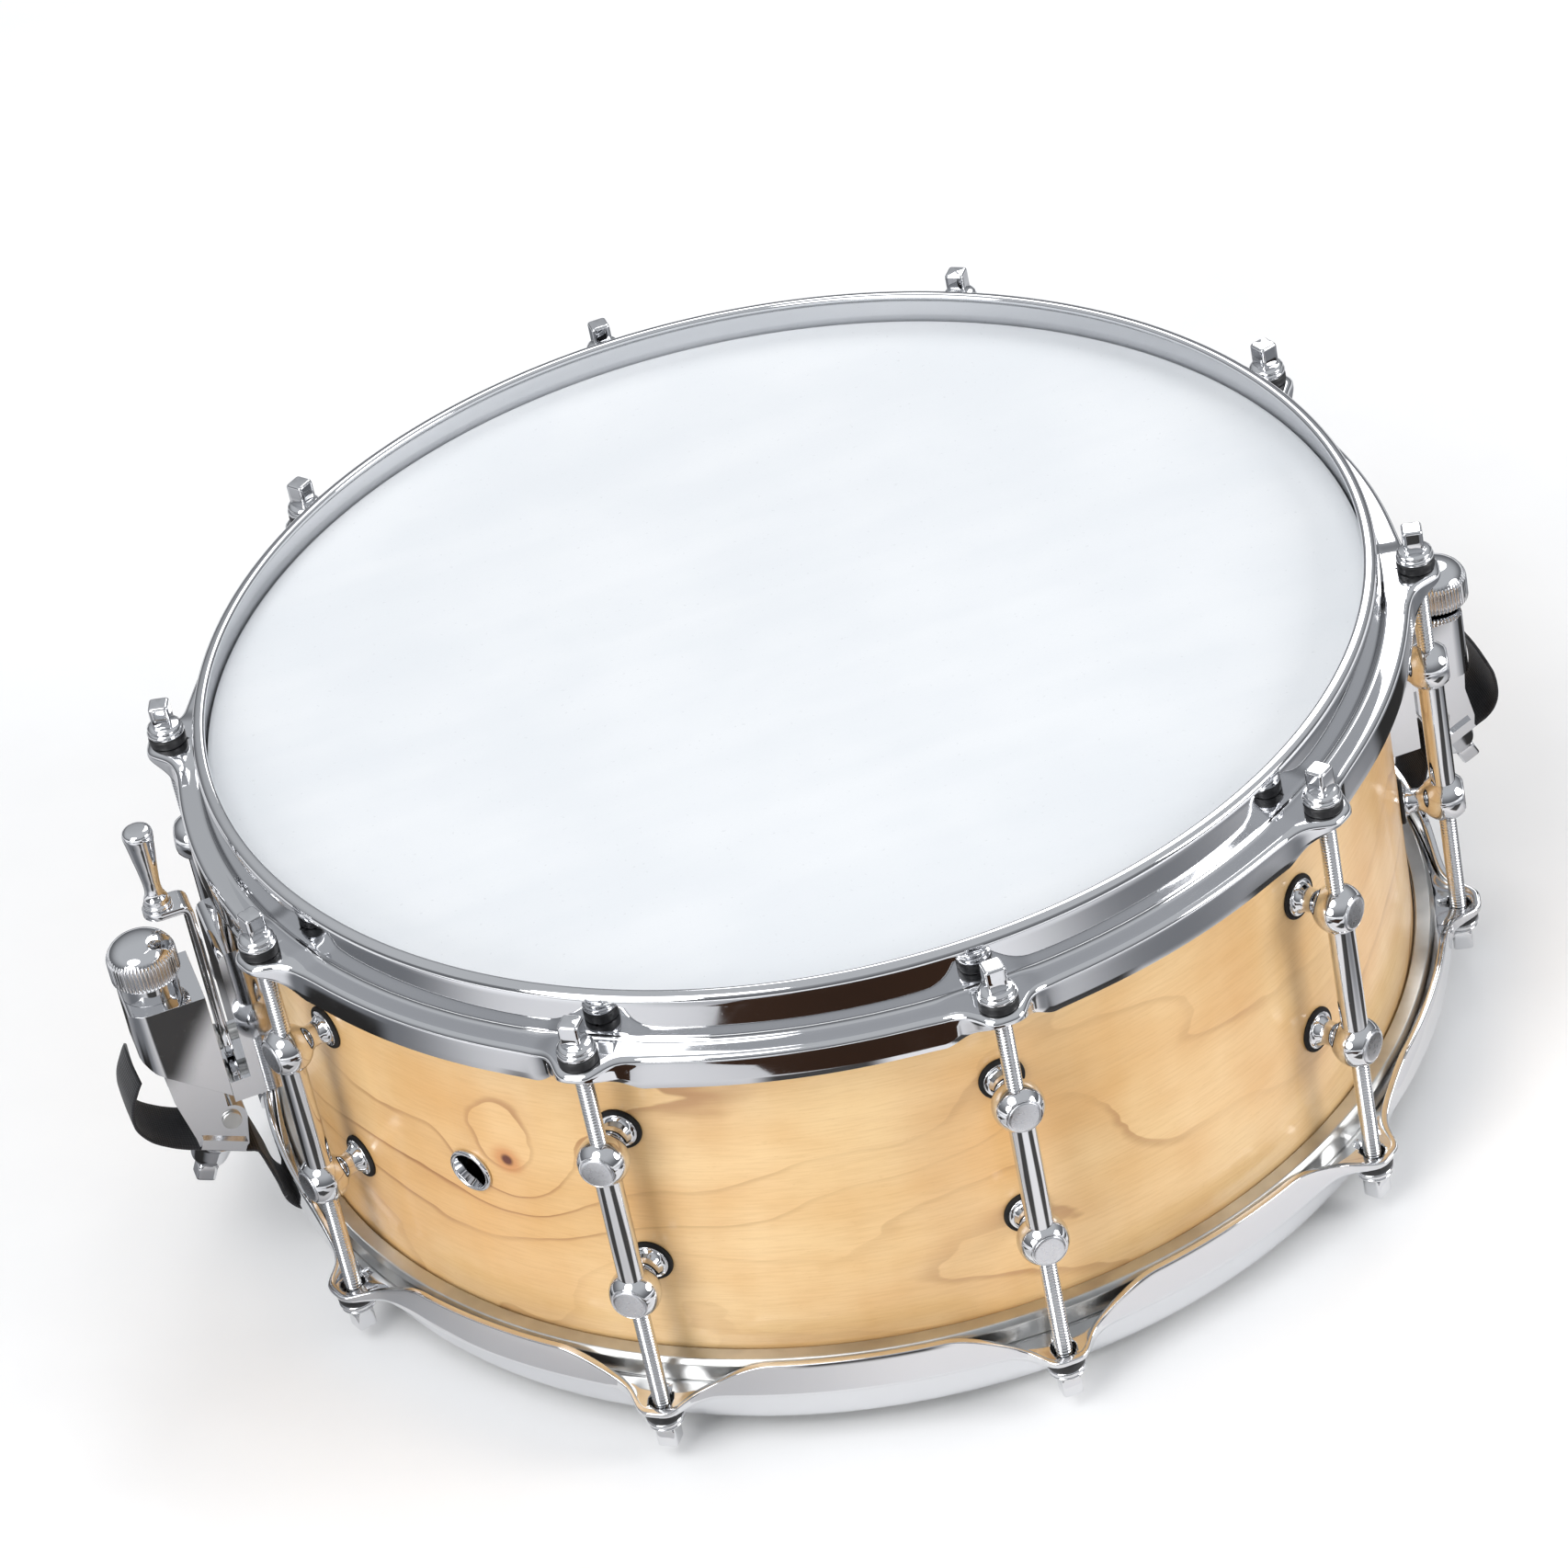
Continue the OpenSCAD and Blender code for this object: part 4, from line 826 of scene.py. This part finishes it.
# ---------------------------------------------------------------------------------------
# Straps: black woven ribbon, 22 mm wide. Each runs from its end plate through the hoop's
# gate and up to its clamp, and its cut tail curls out and up beside the housing.
# ---------------------------------------------------------------------------------------
ribbon, s, cloth = coat("ribbon", Specular_IOR_Level=0.3, Sheen_Weight=0.25,
                        Sheen_Roughness=0.4)
place = s.node("ShaderNodeUVMap", uv_map="UVMap")
across = s.node("ShaderNodeSeparateXYZ", {0: place}, output=0)
along = s.node("ShaderNodeSeparateXYZ", {0: place}, output=1)
fuzz = noise(s, scaled(s, place, (900, 900, 900)), 1.0, 2.0, 0.6)
rib_pitch, yarn_pitch, strap_half = 0.00085, 0.0011, 11.0
rib = (along * (2 * math.pi / rib_pitch) + (fuzz - 0.5) * 1.2).apply("SINE") * 0.5 + 0.5
yarn = (across * (2 * math.pi / yarn_pitch)).apply("SINE")
weave = rib * 0.7 + (yarn * 0.5 + 0.5) * 0.3
selvedge = across.apply("ABSOLUTE").step(0.0093, 0.0100)
worn = noise(s, scaled(s, place, (120, 120, 120)), 1.0, 3.0, 0.6).step(0.5, 0.8)
feed(s, cloth, Base_Color=(weave * 0.5 + worn * 0.25 + selvedge * 0.2).mix(
    rgb(13, 13, 15), rgb(52, 52, 56)),
     Roughness=0.62 + fuzz * 0.25, Normal=bumped(s, weave + fuzz * 0.3, 0.6, 0.00018))


def through(points, steps=10):
    """A Catmull-Rom curve through points, `steps` pieces between each two: every piece is
    the cubic whose slopes are half the chord between the neighbours of its ends."""
    p = np.array(points, float)
    a, b, c, d = np.vstack([p[:1], p[:-2]]), p[:-1], p[1:], np.vstack([p[2:], p[-1:]])
    t = (np.arange(steps) / steps)[None, :, None]
    a, b, c, d = (q[:, None] for q in (a, b, c, d))
    curve = 0.5 * (2 * b + (c - a) * t + (2 * a - 5 * b + 4 * c - d) * t ** 2
                   + (3 * b - a - 3 * c + d) * t ** 3)
    return np.vstack([curve.reshape(-1, 2), p[-1:]])


plate_top = 7.55
route = [(161, plate_top), (168, plate_top), (174, 8.45), (180, 9.15), (186, 11.35),
         (190, 16.55), (191.6, 25.55)]
in_clamp = [(-12.8, -1.5), (-10.8, 0), (-8.6, 0), (-4.4, 0), (0, 0), (4.4, 0), (8.6, 0),
            (11.6, 0)]
tails = {
    "strainer": [(14.8, 7.4), (20, 11.8), (23.4, 18), (23, 25), (20.4, 31), (18.6, 34)],
    "butt": [(13.2, 7.2), (14.9, 10.6), (15.4, 15), (14.8, 20.5), (13, 25.5)],
}
for end, ((x, _, z), flip) in clamps.items():
    held = [(x + u * math.cos(tilt) - v * math.sin(tilt),
             z + u * math.sin(tilt) + v * math.cos(tilt)) for u, v in in_clamp]
    line = through(route + held + [(x + u, z + v) for u, v in tails[end]])
    far = np.concatenate([[0], np.cumsum(np.linalg.norm(np.diff(line, axis=0), axis=1))])
    strip = swept(line, strap_half, 0.5, 0.35, 9)
    # The last 30 mm cups across: the edges lean in by 0.5 (y / 11)^2 at the cut end.
    lean = smooth(far, far[-1] - 30, far[-1])[:, None]
    strip[..., 0] -= lean * (strip[..., 1] / strap_half) ** 2 * 0.5
    u = strip[..., 1] * 0.001
    v = np.repeat(far[:, None] * 0.001, strip.shape[1], 1)
    # The strap is cut at the marked rows of its line. The last piece goes on the body that its
    # end lies on; the others go on no body, their placing baked into their points.
    if end == "strainer":
        marks = [0, 30, 52, 76, len(line) - 1]
        owners = ["snares", "drum", "throw_slider", "strainer_carriage"]
    else:
        marks = [0, 30, 76, len(line) - 1]
        owners = ["snares", "drum", "butt_carriage"]
    for number, (first, last) in enumerate(zip(marks[:-1], marks[1:])):
        part = strip[first:last + 1] * flip
        # The middles of the two closed ends take the places of the first and last points.
        flat = [place[first:last + 1].reshape(-1) for place in (u, v)]
        capped = [np.concatenate([m, [m[0], m[-1]]]) for m in flat]
        name = f"{end}_ribbon_{number + 1}"
        last_part = number == len(marks) - 2
        piece = skin(name, owners[-1] if last_part else None, [part],
                     uv=np.stack(capped, -1), even_shaded=False)
        if not last_part:
            a, b = (np.array([line[k][0], 0, line[k][1]]) * flip * 0.001
                    for k in (first + 2, last - 2))
            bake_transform(piece)
        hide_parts(end + "_strap")
        piece.data.materials.append(ribbon)

# ---------------------------------------------------------------------------------------
# Studio: a pale floor under a pale sky, four round soft lights, and two level cards close
# to the floor that only the chrome and the lacquer pick up. None of it is the drum's.
# ---------------------------------------------------------------------------------------
paper, s, matte = coat("paper", Roughness=0.9, Specular_IOR_Level=0.1)
place = s.node("ShaderNodeTexCoord", output=3)
tooth = noise(s, scaled(s, place, (40, 40, 40)), 1.0, 2.0)
feed(s, matte, Base_Color=tooth.mix(rgb(247, 247, 247), rgb(251, 251, 251)))


def level(name, low, high, z):
    """A level rectangle at height z between two corners."""
    (x0, y0), (x1, y1) = low, high
    corners = [(x0, y0, z), (x1, y0, z), (x1, y1, z), (x0, y1, z)]
    return mesh_piece(name, None, np.array(corners, float), [(0, 1, 2, 3)])


floor = level("pale_floor", (-9000, -9000), (9000, 9000), -6)
floor.data.materials.append(paper)

card_ink, s, matte = coat("card_ink", Roughness=0.9, Specular_IOR_Level=0.1)
place = s.node("ShaderNodeTexCoord", output=3)
feed(s, matte, Base_Color=noise(s, place, 3.0).mix(rgb(34, 20, 11), rgb(62, 40, 26)))
card_front = level("card_front", (-215, -640), (34, -330), -4)
card_front.data.materials.append(card_ink)

# A grey sheet round the drum: dark between the lugs close in, cloudy further out.
card_grey, s, matte = coat("card_grey", Roughness=0.9, Specular_IOR_Level=0.1)
place = s.node("ShaderNodeTexCoord", output=3)
x_of = s.node("ShaderNodeSeparateXYZ", {0: place}, output=0)
y_of = s.node("ShaderNodeSeparateXYZ", {0: place}, output=1)
way_round = s.maths("ARCTAN2", y_of, x_of)
away = (x_of * x_of + y_of * y_of) ** 0.5
between = (way_round * 10 - math.pi).apply("COSINE") * -1
close = between.step(-0.15, 0.55) * away.step(0.352, 0.335) * away.step(0.232, 0.245)
soft_cloud = noise(s, scaled(s, place, (2.6, 2.6, 1), (1.3, 0.2, 0)), 1.0, 1.0)
far_grey = soft_cloud.step(0.36, 0.66).mix(rgb(112, 114, 118), rgb(240, 240, 242))
feed(s, matte, Base_Color=(close * 0.94).mix(far_grey, rgb(30, 28, 26)))
card_sides = 72
annulus = turned([(204, -4.6), (900, -4.6)], card_sides)
here = np.arange(card_sides)
beyond = (here + 1) % card_sides
card_round = mesh_piece("card_round", None, annulus.reshape(-1, 3), np.stack(
    [here, beyond, card_sides + beyond, card_sides + here], -1).tolist())
card_round.data.materials.append(card_grey)
for card in (card_front, card_round):
    card.visible_camera = card.visible_shadow = card.visible_diffuse = False

world = bpy.data.worlds.new("studio")
world.use_nodes = True
sky = world.node_tree.nodes["Background"]
s = Shade(world.node_tree)
up_there = s.node("ShaderNodeSeparateXYZ", {0: s.node("ShaderNodeTexCoord", output=0)}, output=2)
feed(s, sky, Color=up_there.step(0.05, 0.75).mix(
    (0.26, 0.27, 0.29, 1.0), (0.93, 0.96, 1.0, 1.0)))
sky.inputs["Strength"].default_value = 0.60
bpy.context.scene.world = world
aim_at = Vector((0, 0, 0.1))
for name, spot, size, power in (
    ("key_box", (-1.3, -0.9, 2.3), 1.6, 22), ("back_box", (0.9, 1.7, 1.9), 1.4, 18),
    ("left_box", (-1.7, -1.3, 0.8), 1.2, 22), ("right_box", (1.9, -1.1, 0.9), 1.2, 28),
):
    lamp = bpy.data.lights.new(name, "AREA")
    lamp.shape, lamp.size, lamp.energy = "DISK", size, power
    held_up = bpy.data.objects.new(name, lamp)
    held_up.location = spot
    held_up.rotation_mode = "QUATERNION"
    held_up.rotation_quaternion = (Vector(spot) - aim_at).to_track_quat("Z", "Y")
    bpy.context.scene.collection.objects.link(held_up)

azimuth, elevation, roll = (math.radians(v) for v in (-11.22, 35.93, -11.82))
look_at, camera_far = Vector((-0.0139, -0.0263, 0.1191)), 1.7545
back = Vector((math.sin(azimuth) * math.cos(elevation),
               -math.cos(azimuth) * math.cos(elevation), math.sin(elevation)))
lens = bpy.data.cameras.new("camera")
lens.lens, lens.sensor_width = 133.96, 36
lens.clip_end = 50
camera = bpy.data.objects.new("camera", lens)
camera.location = look_at + back * camera_far
camera.rotation_mode = "QUATERNION"
camera.rotation_quaternion = back.to_track_quat("Z", "Y") @ Quaternion((0, 0, 1), roll)
bpy.context.scene.collection.objects.link(camera)
bpy.context.scene.camera = camera
bpy.context.scene.view_settings.view_transform = "Standard"
